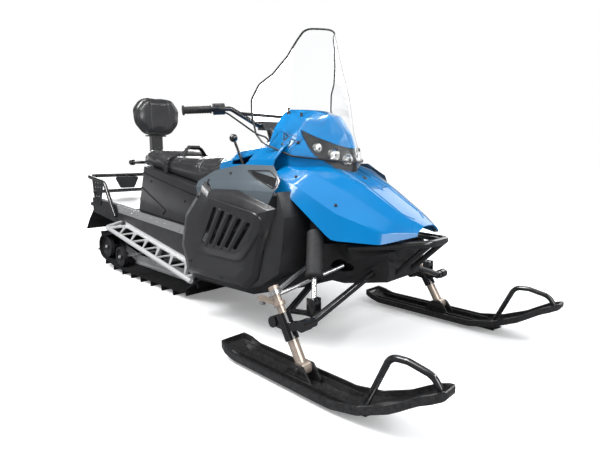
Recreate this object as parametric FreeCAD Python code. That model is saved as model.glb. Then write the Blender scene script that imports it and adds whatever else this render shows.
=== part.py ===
import FreeCAD, Part
import math
import os

# Snowmobile, modelled in millimetres: +Z up, the front faces -Y, the rider's right side is -X.
# Stations along Y are counted from the saddle bolts of the skis, with z = 0 on the ground.
# Before export the whole machine is moved along Y, so that the origin lies under its middle.

V = FreeCAD.Vector
X_AXIS = V(1, 0, 0)
Y_AXIS = V(0, 1, 0)
RIGHT = -1.0
LEFT = 1.0
SIDES = (("right", RIGHT), ("left", LEFT))

# Driving sizes of the machine
SKI_STANCE = 940.0
BELT_WIDTH = 500.0
OVERRUN = 8.0
SEAT_GAP = 0.3
RUN_GAP = 0.08
MOVE_GAP = 6.0
BEND_SHARE = 0.45

# Track belt and its wheels
BELT_THICK = 9.0
LUG_HEIGHT = 30.0
LUG_THICK = 15.0
LUG_TIP_THICK = 9.0
LUG_PITCH = 65.0
LUG_SINK = 2.0
LUG_OUTER_SHARES = (0.42, 1.0)
LUG_MIDDLE_SHARES = (-0.36, 0.36)
GROUND_FRONT_Y = 1175.0
GROUND_REAR_Y = 1990.0
DRIVE_Y = 905.0
DRIVE_Z = 280.0
DRIVE_RADIUS = 82.0
IDLER_Y = 2205.0
IDLER_Z = 152.0
IDLER_RADIUS = 76.0
CARRIER_Y = 1560.0
CARRIER_Z = 318.0
CARRIER_RADIUS = 45.0
FRONT_GUIDE_RADIUS = 60.0
REAR_GUIDE_RADIUS = 68.0
WHEEL_WIDTH = 26.0
WHEEL_RIM = 13.0
WHEEL_WEB = 8.0
WHEEL_HUB_RADIUS = 20.0
INNER_WHEEL_X = 146.0
OUTER_WHEEL_X = 216.0
AXLE_RADIUS = 10.0
AXLE_END = 8.0
DRIVE_SHAFT_RADIUS = 14.0
SPROCKET_X = 92.0
SPROCKET_WIDTH = 34.0
SPROCKET_TEETH = 9
TOOTH_DEPTH = 14.0
TOOTH_SHARES = ((0.0, 0.0), (0.3, 0.0), (0.42, 1.0), (0.88, 1.0))

# Slide frame inside the belt
RAIL_X = 108.0
RAIL_WIDTH = 12.0
RAIL_HEIGHT = 50.0
SLIDER_HEIGHT = 14.0
SLIDER_WIDTH = 26.0
RAIL_CLEAR = 4.0
ARM_RADIUS = 14.0
ARM_CROSS_RADIUS = 17.0
FRONT_ARM_Y = 1225.0
FRONT_ARM_TOP_Y = 1130.0
FRONT_ARM_TOP_Z = 300.0
REAR_ARM_Y = 1720.0

# Tunnel with strips, deck, boards and flap
TUNNEL_CLEAR = 25.0
TUNNEL_HALF = BELT_WIDTH / 2 + TUNNEL_CLEAR
TUNNEL_WALL = 3.0
TUNNEL_FRONT_Y = 800.0
TUNNEL_REAR_Y = 2290.0
TUNNEL_TOP_FRONT_Z = 404.0
TUNNEL_TOP_REAR_Z = 504.0
TUNNEL_LOW_FRONT_Z = 212.0
TUNNEL_KNEE_Y = 1790.0
TUNNEL_KNEE_Z = 344.0
TUNNEL_LOW_REAR_Z = 402.0
STRIP_FRONT_Y = 830.0
STRIP_REAR_Y = 1880.0
STRIP_HEIGHT = 48.0
STRIP_THICK = 3.0
DECK_FRONT_Y = 1640.0
DECK_MARGIN = 16.0
DECK_THICK = 5.0
DECK_NOTCH_GAP = 3.0
BOARD_OUT_X = 412.0
BOARD_TUBE_RADIUS = 12.0
BOARD_REAR_Y = 1755.0
BOARD_REAR_Z = 356.0
BOARD_FRONT_Y = 803.0
BOARD_FRONT_Z = 195.0
BOARD_PLATE_FRONT_Y = 852.0
BOARD_CORNER = 34.0
BOARD_PLATE = 6.0
BOARD_EDGE = 22.0
BOARD_BRACE = 24.0
BOARD_WINDOWS = 6
FLAP_THICK = 8.0
FLAP_TOP_Z = 406.0
FLAP_LOW_Z = 268.0
FLAP_REACH = 149.0
FLAP_BELLY_SHARE = 0.6
FLAP_BEND = 32.0

# Cargo rack, tail lamp and rear hitch
RACK_TUBE = 12.5
RACK_REAR_Y = 2335.0
RACK_TOP_REAR_Z = 655.0
RACK_TOP_FRONT_Z = 618.0
RACK_BEND_Y = 2035.0
RACK_FOOT_Y = 1885.0
RACK_FOOT_Z = 400.0
RACK_BEND_RADIUS = 60.0
RACK_CROSS_DROP = 108.0
RACK_PLATE_THICK = 5.0
RACK_PLATE_HOLE = 8.0
RACK_PLATE_SHARES = (0.22, 0.88, 0.18, 0.50)
RACK_HOLE_COLUMNS = (1, 2, 2, 3, 3)
LAMP_TOP_WIDTH = 178.0
LAMP_LOW_WIDTH = 96.0
LAMP_HEIGHT = 84.0
LAMP_DEPTH = 30.0
HITCH_TUBE = 14.0
HITCH_Y = 2385.0
HITCH_Z = 452.0
HITCH_TONGUE_WIDTH = 74.0
HITCH_TONGUE_THICK = 12.0
HITCH_TONGUE_OUT = 52.0
HITCH_BORE_RADIUS = 8.5

# Hood: stations along its length, half sections from the middle of the roof to the lower edge
HOOD_FRONT_Y = -190.0
HOOD_REAR_Y = 345.0
HOOD_HALF = 330.0
HOOD_LOW_Z = 452.0
HOOD_HEIGHT = 292.0
HOOD_WALL = 5.0
HOOD_STATION_SHARES = (0.0, 0.14, 0.43, 0.76, 1.0)
HOOD_SECTION_SHARES = (
    ((0.0, 0.23), (0.10, 0.22), (0.17, 0.19), (0.22, 0.15), (0.235, 0.11)),
    ((0.0, 0.37), (0.20, 0.36), (0.38, 0.28), (0.54, 0.16), (0.60, 0.03)),
    ((0.0, 0.70), (0.26, 0.69), (0.50, 0.58), (0.77, 0.38), (0.86, 0.06)),
    ((0.0, 0.98), (0.34, 0.97), (0.62, 0.90), (0.87, 0.72), (0.95, 0.56)),
    ((0.0, 0.99), (0.36, 0.985), (0.66, 0.97), (0.88, 0.86), (0.985, 0.66)),
)

# Cowl over the hood, with the lamps in a slit across its nose
COWL_FRONT_Y = 148.0
COWL_REAR_Y = 480.0
COWL_HALF = 262.0
COWL_LOW_Z = 742.0
COWL_HEIGHT = 262.0
COWL_WALL = 5.0
COWL_STATION_SHARES = (0.0, 0.133, 0.32, 0.56, 0.80, 1.0)
COWL_SECTION_SHARES = (
    ((0.0, 0.12), (0.03, 0.115), (0.055, 0.09), (0.075, 0.04), (0.08, -0.10), (0.085, -0.20)),
    ((0.0, 0.51), (0.08, 0.50), (0.16, 0.42), (0.25, 0.29), (0.31, 0.14), (0.34, -0.20)),
    ((0.0, 0.77), (0.13, 0.76), (0.27, 0.63), (0.42, 0.41), (0.53, 0.20), (0.57, -0.12)),
    ((0.0, 0.88), (0.17, 0.865), (0.37, 0.73), (0.60, 0.48), (0.75, 0.27), (0.79, -0.08)),
    ((0.0, 0.92), (0.18, 0.905), (0.38, 0.80), (0.62, 0.52), (0.77, 0.29), (0.82, -0.08)),
    ((0.0, 0.94), (0.18, 0.93), (0.35, 0.86), (0.57, 0.60), (0.71, 0.32), (0.78, -0.08)),
)
LAMP_SLIT_OUTLINE = ((334.0, 886.0), (132.0, 790.0), (132.0, 640.0), (201.0, 735.0), (250.0, 772.0))
SCREEN_BOSS_RADIUS = 7.0
SCREEN_BOSS_SPOTS = ((72.0, 800.0), (172.0, 830.0))

# Console behind the cowl, with the well of the steering post and the shift slot
CONSOLE_FRONT_Y = 352.0
CONSOLE_REAR_Y = 838.0
CONSOLE_HALF = 292.0
CONSOLE_LOW_Z = 690.0
CONSOLE_HEIGHT = 172.0
CONSOLE_WALL = 5.0
CONSOLE_STATION_SHARES = (0.0, 0.38, 0.72, 1.0)
CONSOLE_SECTION_SHARES = (
    ((0.0, 1.0), (0.40, 0.97), (0.72, 0.74), (0.92, 0.42), (1.0, 0.10), (0.98, 0.0)),
    ((0.0, 0.93), (0.38, 0.90), (0.68, 0.70), (0.86, 0.42), (0.92, 0.12), (0.90, 0.0)),
    ((0.0, 0.80), (0.34, 0.78), (0.60, 0.64), (0.76, 0.40), (0.80, 0.12), (0.78, 0.0)),
    ((0.0, 0.66), (0.30, 0.65), (0.52, 0.54), (0.64, 0.34), (0.68, 0.10), (0.66, 0.0)),
)
POST_WELL_RADIUS = 62.0
SHIFT_SLOT_FRONT_Y = 535.0
SHIFT_SLOT_REAR_Y = 690.0
SHIFT_SLOT_LOW_Z = 742.0
SHIFT_SLOT_HALF = 17.0
SHIFT_X = -236.0
SHIFT_Y = 590.0
SHIFT_LOW_Z = 728.0
SHIFT_TOP_Y = 665.0
SHIFT_HIGH_Z = 860.0
SHIFT_KNOB = 19.0
SHIFT_STALK_RADIUS = 6.0

# Side panel with its louvres, the upper panel over it and the fairing in front of it
PANEL_X = 372.0
PANEL_CROWN = 34.0
PANEL_FRONT_Y = 232.0
PANEL_REAR_Y = 905.0
PANEL_LOW_Z = 221.0
PANEL_HIGH_Z = 668.0
PANEL_WALL = 5.0
PANEL_RING_SHARES = ((1.0, 0.0), (0.93, 0.62), (0.80, 1.0))
PANEL_OUTLINE_SHARES = (
    (0.0, 0.80), (0.10, 0.50), (0.17, 0.15), (0.27, 0.03), (0.45, 0.015), (0.93, 0.0),
    (1.0, 0.29), (0.93, 0.66), (0.82, 0.81), (0.725, 0.94), (0.70, 1.0), (0.62, 0.925), (0.35, 0.935),
)
LOUVRES = 5
LOUVRE_FRONT_Y = 443.0
LOUVRE_LOW_Z = 397.0
LOUVRE_STEP_Y = 56.5
LOUVRE_GROWTH = 11.5
LOUVRE_WIDTH = 27.0
LOUVRE_HEIGHT = 120.0
LOUVRE_LEAN = 103.0
PANEL_BOSS_RADIUS = 9.0
PANEL_BOSS_SPOTS = ((560.0, 300.0), (780.0, 252.0))
PANEL_INNER_X = 250.0
UPPER_OUTLINE = (
    (237.0, 654.0), (237.0, 681.0), (313.0, 738.0), (509.0, 742.0), (683.0, 716.0), (781.0, 667.0),
    (760.0, 560.0), (300.0, 560.0),
)
UPPER_KNEE_Z = 640.0
UPPER_LEAN = 66.0
UPPER_HIGH_Z = 750.0
UPPER_BOSS_SPOTS = ((400.0, 700.0), (600.0, 690.0))
FAIRING_INNER_X = 240.0
FAIRING_WALL = 5.0
FAIRING_OUTLINE = ((226.0, 640.0), (191.0, 547.0), (204.0, 425.0), (226.0, 330.0), (330.0, 262.0))

# Belly pan
BELLY_FRONT_Y = -118.0
BELLY_REAR_Y = 850.0
BELLY_HALF = 366.0
BELLY_LOW_Z = 176.0
BELLY_HIGH_Z = 446.0
BELLY_WALL = 6.0
BELLY_STATION_SHARES = (0.0, 0.16, 0.40, 0.62, 1.0)
BELLY_SECTION_SHARES = (
    ((0.0, 1.0), (0.26, 1.0), (0.30, 0.92), (0.22, 0.78)),
    ((0.0, 0.98), (0.46, 0.98), (0.48, 0.74), (0.34, 0.52)),
    ((0.0, 0.92), (0.62, 0.92), (0.66, 0.40), (0.50, 0.20)),
    ((0.0, 0.66), (0.94, 0.66), (0.96, 0.12), (0.78, 0.0)),
    ((0.0, 0.34), (0.99, 0.34), (1.0, 0.12), (0.86, 0.0)),
)

# Windscreen: a curved sheet leaning back, trimmed to its outline seen from the side
SCREEN_HALF = 262.0
SCREEN_THICK = 3.0
SCREEN_POWER = 1.6
SCREEN_LEVELS = (
    (735.0, 130.0, 0.90), (861.0, 172.0, 1.20), (1018.0, 201.0, 1.20), (1125.0, 236.0, 1.20),
    (1195.0, 257.0, 1.20), (1255.0, 271.0, 1.20), (1310.0, 290.0, 1.20),
)
SCREEN_ARC_SHARES = (-1.0, -0.75, -0.5, -0.25, 0.0, 0.25, 0.5, 0.75, 1.0)
SCREEN_TRIM_RADIUS = 40.0
SCREEN_TRIM_OUTLINE = (
    (100.0, 742.0), (318.0, 775.0), (393.0, 808.0), (444.0, 832.0), (479.0, 866.0), (500.0, 949.0),
    (505.0, 1014.0), (482.0, 1076.0), (433.0, 1118.0), (391.0, 1186.0), (350.0, 1290.0), (335.0, 1300.0),
    (100.0, 1300.0),
)

# Seat, strap and backrest
SEAT_HALF = 190.0
SEAT_FRONT_Y = 842.0
SEAT_JOINT_Y = 1398.0
SEAT_REAR_Y = 1712.0
SEAT_TOP_Z = 778.0
SEAT_HUMP_Z = 824.0
SEAT_DIP = 14.0
SEAT_SECTION_SHARES = ((0.56, 0.0), (0.93, 0.0), (1.0, 0.35), (0.94, 0.80), (0.70, 0.97), (0.30, 1.0))
SEAT_NOSE_SHARE = 0.72
SEAT_SHOULDER_SHARE = 0.84
SEAT_TAIL_SHARE = 0.86
HUMP_RISE_SHARE = 0.4
BOX_HALF = 262.0
BOX_TOP_HALF = 206.0
BOX_FRONT_Y = 905.0
BOX_REAR_Y = 1618.0
BOX_TOP_FRONT_Z = 606.0
BOX_TOP_REAR_Z = 728.0
STRAP_WIDTH = 42.0
STRAP_THICK = 4.0
STRAP_LOOP_HEIGHT = 56.0
STRAP_LOOP_HALF = 42.0
STRAP_BEND = 24.0
BACK_Y = 1822.0
BACK_LOW_Z = 930.0
BACK_HIGH_Z = 1170.0
BACK_HALF = 158.0
BACK_THICK = 84.0
BACK_ROUND = 42.0
BACK_OUTLINE_SHARES = (
    (-0.55, 0.0), (0.55, 0.0), (0.94, 0.30), (1.0, 0.70), (0.66, 1.0),
    (-0.66, 1.0), (-1.0, 0.70), (-0.94, 0.30),
)
POST_Y = 1842.0
POST_WIDTH = 80.0
POST_DEPTH = 32.0
POST_HEAD_WIDTH = 130.0
POST_HEAD_DEPTH = 42.0
POST_HEAD_THICK = 8.0
GRAB_Z = 750.0
GRAB_X = 152.0
GRAB_END_Y = 1895.0
GRAB_RADIUS = 10.0
GRAB_BEND = 30.0
GRAB_KNOB = 18.0

# Engine, front frame and bumper
ENGINE_HALF = 170.0
ENGINE_FRONT_Y = 340.0
ENGINE_REAR_Y = 640.0
ENGINE_LOW_Z = 262.0
ENGINE_HIGH_Z = 600.0
FRAME_HALF = 112.0
FRAME_WALL = 6.0
FRAME_OUTLINE = (
    (-100.0, 349.0), (-90.0, 304.0), (114.0, 262.0), (246.0, 262.0), (246.0, 452.0), (-72.0, 452.0),
)
CRADLE_X = 96.0
CRADLE_TUBE = 12.0
CRADLE_FRONT_Y = 180.0
CRADLE_FRONT_Z = 290.0
CRADLE_BEND_Y = 290.0
CRADLE_BEND = 70.0
CRADLE_END_Y = 770.0
CRADLE_PLATE_THICK = 14.0
CRADLE_PLATE_LENGTH = 90.0
CRADLE_PLATE_HEIGHT = 40.0
SUPPORT_X = 180.0
SUPPORT_FOOT_Y = 822.0
SUPPORT_TUBE = 12.0
SUPPORT_PAD_HALF = 24.0
SUPPORT_PAD_THICK = 6.0
BUMPER_RADIUS = 14.0
BUMPER_MOUNT_X = 222.0
BUMPER_MOUNT_Y = 8.0
BUMPER_MOUNT_Z = 436.0
BUMPER_NOSE_X = 62.0
BUMPER_NOSE_Y = -230.0
BUMPER_NOSE_Z = 460.0
BUMPER_BEND = 46.0
BUMPER_FOOT_X = 56.0
BUMPER_FOOT_Y = -80.0
BUMPER_FOOT_Z = 318.0
BUMPER_STAY_RADIUS = 11.0

# Front suspension
CASTER_DEG = 30.0
SADDLE_Z = 66.0
SHAFT_RADIUS = 14.0
LEG_RADIUS = 19.0
KNUCKLE_RADIUS = 25.0
KNUCKLE_LOW_Z = 150.0
KNUCKLE_HIGH_Z = 232.0
KNUCKLE_LUG_RADIUS = 20.0
KNUCKLE_LUG_HALF = 20.0
KNUCKLE_WEB_HALF = 14.0
LOWER_ARM_TUBE = 13.0
LOWER_BUSH_RADIUS = 17.0
LOWER_BUSH_LENGTH = 26.0
LOWER_FRONT_Y = -8.0
LOWER_FRONT_Z = 216.0
LOWER_REAR_Y = 132.0
LOWER_REAR_Z = 196.0
LOWER_INNER_FRONT_Y = -22.0
LOWER_INNER_FRONT_Z = 328.0
LOWER_INNER_REAR_Y = 224.0
LOWER_INNER_REAR_Z = 300.0
LOWER_BRACE_TUBE = 10.0
UPPER_ARM_TUBE = 8.0
UPPER_EYE_Z = 298.0
UPPER_EYE_LENGTH = 17.0
UPPER_EYE_RADIUS = 21.0
UPPER_INNER_Y = 226.0
UPPER_INNER_Z = 372.0
SHOCK_LOW_X = 392.0
SHOCK_LOW_Y = 22.0
SHOCK_LOW_Z = 268.0
SHOCK_TOP_X = 252.0
SHOCK_TOP_Y = 142.0
SHOCK_TOP_Z = 508.0
SHOCK_SLEEVE_RADIUS = 33.0
SHOCK_BODY_RADIUS = 20.0
SHOCK_EYE_RADIUS = 17.0
SHOCK_EYE_HALF = 14.0
SHOCK_SLEEVE_SHARES = (0.30, 0.92)
SHOCK_EAR_THICK = 6.0
SHOCK_EAR_HALF = 16.0
SHOCK_BOLT_RADIUS = 7.0
SHOCK_ROD_RADIUS = 9.0
SHOCK_MOUNT_X = 236.0

# Spindles and tie rods
BOLT_RADIUS = 8.0
SPINDLE_TOP_Z = 318.0
SPINDLE_NUT_RADIUS = 19.0
SPINDLE_NUT_HEIGHT = 11.5
SPINDLE_EYE_RADIUS = 24.0
SPINDLE_EYE_HALF = 20.0
STEER_ARM_Z = 262.0
STEER_ARM_THICK = 12.0
STEER_ARM_HALF = 12.0
STEER_CLAMP_RADIUS = 21.0
STEER_EYE_Y = 208.0
STEER_EYE_RADIUS = 16.0
TIE_GAP = 0.8
TIE_END_THICK = 16.0
TIE_END_RADIUS = 14.0
TIE_INNER_X = 168.0
TIE_INNER_Y = 74.0
TIE_INNER_Z = 352.0
TIE_RADIUS = 7.0
TIE_SWING = 36.0

# Skis with their saddles and loop handles
SKI_TIP_Y = -525.0
SKI_TAIL_Y = 398.0
SKI_HALF = 69.0
SKI_BASE_Z = 17.0
SKI_TIP_Z = 190.0
SKI_THICK = 8.0
SKI_RIM = 26.0
SKI_RIM_WALL = 9.0
SKI_BEND = 90.0
SKI_CORNER = 22.0
SKI_PROFILE_SHARES = (
    (0.0, 1.0), (0.07, 0.80), (0.16, 0.44), (0.27, 0.14), (0.38, 0.0), (0.90, 0.0), (1.0, 0.17),
)
SKI_PLAN_SHARES = (
    (0.0, 0.36), (0.035, 0.66), (0.12, 0.86), (0.30, 0.97), (0.45, 1.0), (0.95, 1.0), (1.0, 0.80),
)
SKI_RIB_SHARES = (0.42, 0.86)
KEEL_SHARES = (0.5, 0.72)
KEEL_RUN = 32.0
KEEL_WIDTH = 22.0
KEEL_RADIUS = 5.5
SADDLE_HALF = 36.0
SADDLE_CHEEK = 8.0
SADDLE_GAP = 1.0
SADDLE_FRONT_Y = -70.0
SADDLE_REAR_Y = 76.0
SADDLE_TOP = 17.0
LOOP_RADIUS = 10.0
LOOP_BEND = 44.0
LOOP_POINTS = ((-252.0, 22.0), (-343.0, 214.0), (-398.0, 218.0), (-474.0, 203.0), (-497.0, 168.0))

# Handlebar
STEER_RAKE_DEG = 20.0
STEER_HUB_Y = 690.0
STEER_HUB_Z = 925.0
BAR_RADIUS = 11.0
BAR_BEND_RADIUS = 44.0
GRIP_RADIUS = 17.0
GRIP_END_X = 390.0
GRIP_END_Y = 825.0
GRIP_END_Z = 986.0
BAR_BEND_X = 196.0
BAR_BEND_Y = 735.0
BAR_BEND_Z = 1000.0
BAR_CLAMP_X = 66.0
GRIP_END = V(GRIP_END_X, GRIP_END_Y, GRIP_END_Z)
BAR_BEND = V(BAR_BEND_X, BAR_BEND_Y, BAR_BEND_Z)
BAR_CLAMP = V(BAR_CLAMP_X, STEER_HUB_Y, STEER_HUB_Z)
GRIP_START_SHARE = 0.42
GRIP_CAP = 8.0
GRIP_FLANGE_RADIUS = 23.0
BRACE_SHARE = 0.72
BRACE_RADIUS = 8.0
POST_RADIUS = 15.0
POST_LOW_REACH = 215.0
BEARING_REACH = 195.0
BEARING_LENGTH = 24.0
BEARING_RADIUS = 28.0
CLAMP_HALF_X = 53.0
CLAMP_HALF = 20.0
CONTROL_OFFSET = 34.0
CONTROL_HALF = 26.0
CONTROL_RADIUS = 26.0
LEVER_SHARE = 0.72
LEVER_OUT = 54.0
LEVER_RADIUS = 6.0
CABLE_RADIUS = 4.0
CABLE_DROP = 17.0
CABLE_X = 24.0
CABLE_BEND = 60.0
CABLE_CLIP_RADIUS = 11.0
CABLE_CLIP_LENGTH = 10.0
CABLE_CLIP_REACH = 90.0
CABLE_TURN_REACH = 60.0
CABLE_END_REACH = 150.0
CABLE_BAR_OUT = 4.0
CABLE_BAR_BACK = 12.0
CABLE_BAR_DROP = 24.0
CABLE_CLAMP_IN = 14.0
CABLE_CLAMP_DROP = 42.0
CABLE_UNDER_BAR = V(CABLE_BAR_OUT, CABLE_BAR_BACK, -CABLE_BAR_DROP)
CABLE_UNDER_CLAMP = V(-CABLE_CLAMP_IN, CABLE_BAR_BACK * 2, -CABLE_CLAMP_DROP)

# Machine values worked out from the driving sizes
HALF_STANCE = SKI_STANCE / 2
HALF_BELT = BELT_WIDTH / 2
BELT_IN_Z = LUG_HEIGHT + BELT_THICK
CASTER = math.radians(CASTER_DEG)
FLAT_TURN = 1e-6
SLIGHT_TURN_DEG = 1.5
SLIGHT_TURN = math.radians(SLIGHT_TURN_DEG)
FULL_TURN_DEG = 360.0
MACHINE_MIDDLE_Y = (SKI_TIP_Y + HITCH_Y + HITCH_TONGUE_OUT) / 2


# Basic shapes

def block(x_low, x_high, y_low, y_high, z_low, z_high):
    corner = V(x_low, y_low, z_low)
    return Part.makeBox(x_high - x_low, y_high - y_low, z_high - z_low, corner)


def face_of(points):
    return Part.Face(Part.makePolygon(points + [points[0]]))


def plate_x(outline, x_low, x_high):
    return face_of([V(x_low, y, z) for y, z in outline]).extrude(V(x_high - x_low, 0, 0))


def plate_y(outline, y_low, y_high):
    return face_of([V(x, y_low, z) for x, z in outline]).extrude(V(0, y_high - y_low, 0))


def rod(start, end, radius):
    return Part.makeCylinder(radius, (end - start).Length, start, end - start)


def pipe_ring(centre, axis, length, outer, inner):
    way = V(axis).normalize() * length
    foot = centre - way / 2
    hole_foot = centre - way
    ring = Part.makeCylinder(outer, length, foot, axis)
    return ring.cut(Part.makeCylinder(inner, length * 2, hole_foot, axis))


def mirrored(shape):
    return shape.mirror(V(0, 0, 0), X_AXIS)


def both(shape):
    return Part.makeCompound([shape, mirrored(shape)])


def fused(shapes):
    return shapes[0].fuse(shapes[1:]).removeSplitter()


def largest(shape):
    return max(shape.Solids, key=lambda solid: solid.Volume)


def corner_arc(before, corner, after, radius):
    back = (before - corner).normalize()
    ahead = (after - corner).normalize()
    half = back.getAngle(ahead) / 2
    cut = radius / math.tan(half)
    centre = corner + (back + ahead).normalize() * (radius / math.sin(half))
    middle = centre + (corner - centre).normalize() * radius
    return corner + back * cut, middle, corner + ahead * cut


def corner_radius(before, corner, after, wish):
    run = min((before - corner).Length, (after - corner).Length)
    half = (before - corner).getAngle(after - corner) / 2
    return min(wish, BEND_SHARE * run * math.tan(half))


def rounded_path(points, radius, closed=False):
    count = len(points)
    first = 0 if closed else 1
    last = count if closed else count - 1
    arcs = {}
    for index in range(first, last):
        before, corner, after = points[index - 1], points[index], points[(index + 1) % count]
        turn = math.pi - (before - corner).getAngle(after - corner)
        if turn > SLIGHT_TURN:
            arcs[index] = corner_arc(before, corner, after, corner_radius(before, corner, after, radius))
    edges = []
    for index in range(count if closed else count - 1):
        following = (index + 1) % count
        start = arcs[index][2] if index in arcs else points[index]
        end = arcs[following][0] if following in arcs else points[following]
        if (end - start).Length > RUN_GAP / 100:
            edges.append(Part.LineSegment(start, end).toShape())
        if following in arcs:
            edges.append(Part.Arc(*arcs[following]).toShape())
    return Part.Wire(Part.__sortEdges__(edges))


def bent_tube(points, radius, bend):
    path = rounded_path(points, bend)
    way = points[1] - points[0]
    profile = Part.Wire(Part.Circle(points[0], way, radius).toShape())
    return path.makePipeShell([profile], True, False)


def rounded_plate_x(outline, x_low, x_high, radius):
    path = rounded_path([V(x_low, y, z) for y, z in outline], radius, True)
    return Part.Face(path).extrude(V(x_high - x_low, 0, 0))


def rounded_plate_y(outline, y_low, y_high, radius):
    path = rounded_path([V(x, y_low, z) for x, z in outline], radius, True)
    return Part.Face(path).extrude(V(0, y_high - y_low, 0))


def rounded_plate_z(outline, z_low, z_high, radius):
    path = rounded_path([V(x, y, z_low) for x, y in outline], radius, True)
    return Part.Face(path).extrude(V(0, 0, z_high - z_low))


def ruled_loft(wires):
    return Part.makeLoft(wires, True, True)


def spread(shares, low, high):
    return [low + share * (high - low) for share in shares]


def outline_from(shares, y_low, y_high, z_low, z_high):
    return [(y_low + a * (y_high - y_low), z_low + b * (z_high - z_low)) for a, b in shares]


def revolve_x(profile, centre):
    points = [centre + V(along, 0, radius) for along, radius in profile]
    return face_of(points).revolve(centre, X_AXIS, FULL_TURN_DEG)


# Faceted bodywork: half sections from the middle of the roof down to the lower edge

def inset(points, wall):
    count = len(points)
    lines = []
    for index in range(count):
        start, end = points[index], points[(index + 1) % count]
        length = math.hypot(end[0] - start[0], end[1] - start[1])
        normal = ((end[1] - start[1]) / length, (start[0] - end[0]) / length)
        lines.append((normal, normal[0] * start[0] + normal[1] * start[1] + wall))
    moved = []
    for index in range(count):
        (one, reach), (other, far) = lines[index - 1], lines[index]
        cross = one[0] * other[1] - one[1] * other[0]
        if abs(cross) < FLAT_TURN:
            moved.append((points[index][0] + wall * one[0], points[index][1] + wall * one[1]))
        else:
            across = (reach * other[1] - far * one[1]) / cross
            moved.append((across, (far * one[0] - reach * other[0]) / cross))
    return moved


def closed_section(half):
    return half + [(-x, z) for x, z in reversed(half) if x > 0]


def section_wire(points, y):
    corners = [V(x, y, z) for x, z in points]
    return Part.makePolygon(corners + [corners[0]])


def half_sections(table, half_width, low_z, height):
    sections = []
    for half in table:
        sections.append([(x * half_width, low_z + z * height) for x, z in half])
    return sections


def full_body(stations, sections, gap):
    places = [stations[0] - gap] + stations[1:-1] + [stations[-1] + gap]
    outlines = [inset(closed_section(half), -gap) for half in sections]
    return ruled_loft([section_wire(outline, y) for y, outline in zip(places, outlines)])


def skin(stations, sections, wall, open_front, open_rear):
    outer = ruled_loft([section_wire(closed_section(half), y) for y, half in zip(stations, sections)])
    inner_wires = []
    last = len(stations) - 1
    for index, half in enumerate(sections):
        core = inset(closed_section(half), wall)
        low = min(z for x, z in half) - OVERRUN
        for edge in (len(half) - 1, len(half)):
            core[edge] = (core[edge][0], low)
        place = stations[index]
        if index == 0:
            place += -OVERRUN if open_front else wall
        if index == last:
            place += OVERRUN if open_rear else -wall
        inner_wires.append(section_wire(core, place))
    return outer.cut(ruled_loft(inner_wires))


# Track belt: one loop round the drive wheels, the guide wheels, the rear idlers and the carriers

def track_circles():
    guide_z = BELT_IN_Z + SEAT_GAP
    return [
        (DRIVE_Y, DRIVE_Z, DRIVE_RADIUS),
        (GROUND_FRONT_Y, guide_z + FRONT_GUIDE_RADIUS, FRONT_GUIDE_RADIUS),
        (GROUND_REAR_Y, guide_z + REAR_GUIDE_RADIUS, REAR_GUIDE_RADIUS),
        (IDLER_Y, IDLER_Z, IDLER_RADIUS),
        (CARRIER_Y, CARRIER_Z, CARRIER_RADIUS),
    ]


def tangent_angle(first, second):
    dy, dz = second[0] - first[0], second[1] - first[1]
    turn = math.asin((first[2] - second[2]) / math.hypot(dy, dz))
    return math.atan2(dz, dy) - math.pi / 2 + turn


def circle_point(circle, angle, offset):
    reach = circle[2] + offset
    return V(0, circle[0] + reach * math.cos(angle), circle[1] + reach * math.sin(angle))


def track_loop(offset, x):
    circles = track_circles()
    count = len(circles)
    leave = [tangent_angle(circles[i], circles[(i + 1) % count]) for i in range(count)]
    shift = V(x, 0, 0)
    edges = []
    for index in range(count):
        circle = circles[index]
        arrive = leave[index - 1]
        sweep = (leave[index] - arrive) % (2 * math.pi)
        arc = [circle_point(circle, arrive + sweep * part, offset) + shift for part in (0, 1 / 2, 1)]
        edges.append(Part.Arc(*arc).toShape())
        following = circle_point(circles[(index + 1) % count], leave[index], offset) + shift
        edges.append(Part.LineSegment(arc[2], following).toShape())
    return Part.Wire(edges)


def lug(place, tangent, outward, x_low, x_high):
    foot = place - outward * LUG_SINK
    tip = place + outward * LUG_HEIGHT
    corners = [foot - tangent * LUG_THICK / 2, foot + tangent * LUG_THICK / 2]
    corners += [tip + tangent * LUG_TIP_THICK / 2, tip - tangent * LUG_TIP_THICK / 2]
    shift = V(x_low, 0, 0)
    return face_of([corner + shift for corner in corners]).extrude(V(x_high - x_low, 0, 0))


def track():
    inner = Part.Face(track_loop(SEAT_GAP, -HALF_BELT))
    outer = Part.Face(track_loop(SEAT_GAP + BELT_THICK, -HALF_BELT))
    belt = outer.cut(inner).extrude(V(BELT_WIDTH, 0, 0))
    centre_line = track_loop(SEAT_GAP + BELT_THICK, 0)
    count = int(centre_line.Length / LUG_PITCH / 2) * 2
    spots = centre_line.discretize(Number=count + 1)[:-1]
    lugs = []
    for index, place in enumerate(spots):
        tangent = (spots[(index + 1) % count] - spots[index - 1]).normalize()
        outward = V(0, tangent.z, -tangent.y)
        if index % 2:
            low, high = [share * HALF_BELT for share in LUG_MIDDLE_SHARES]
            lugs.append(lug(place, tangent, outward, low, high))
            continue
        low, high = [share * HALF_BELT for share in LUG_OUTER_SHARES]
        lugs.append(lug(place, tangent, outward, low, high))
        lugs.append(lug(place, tangent, outward, -high, -low))
    return belt.fuse(lugs)


# Wheels, axles and slide frame

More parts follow.
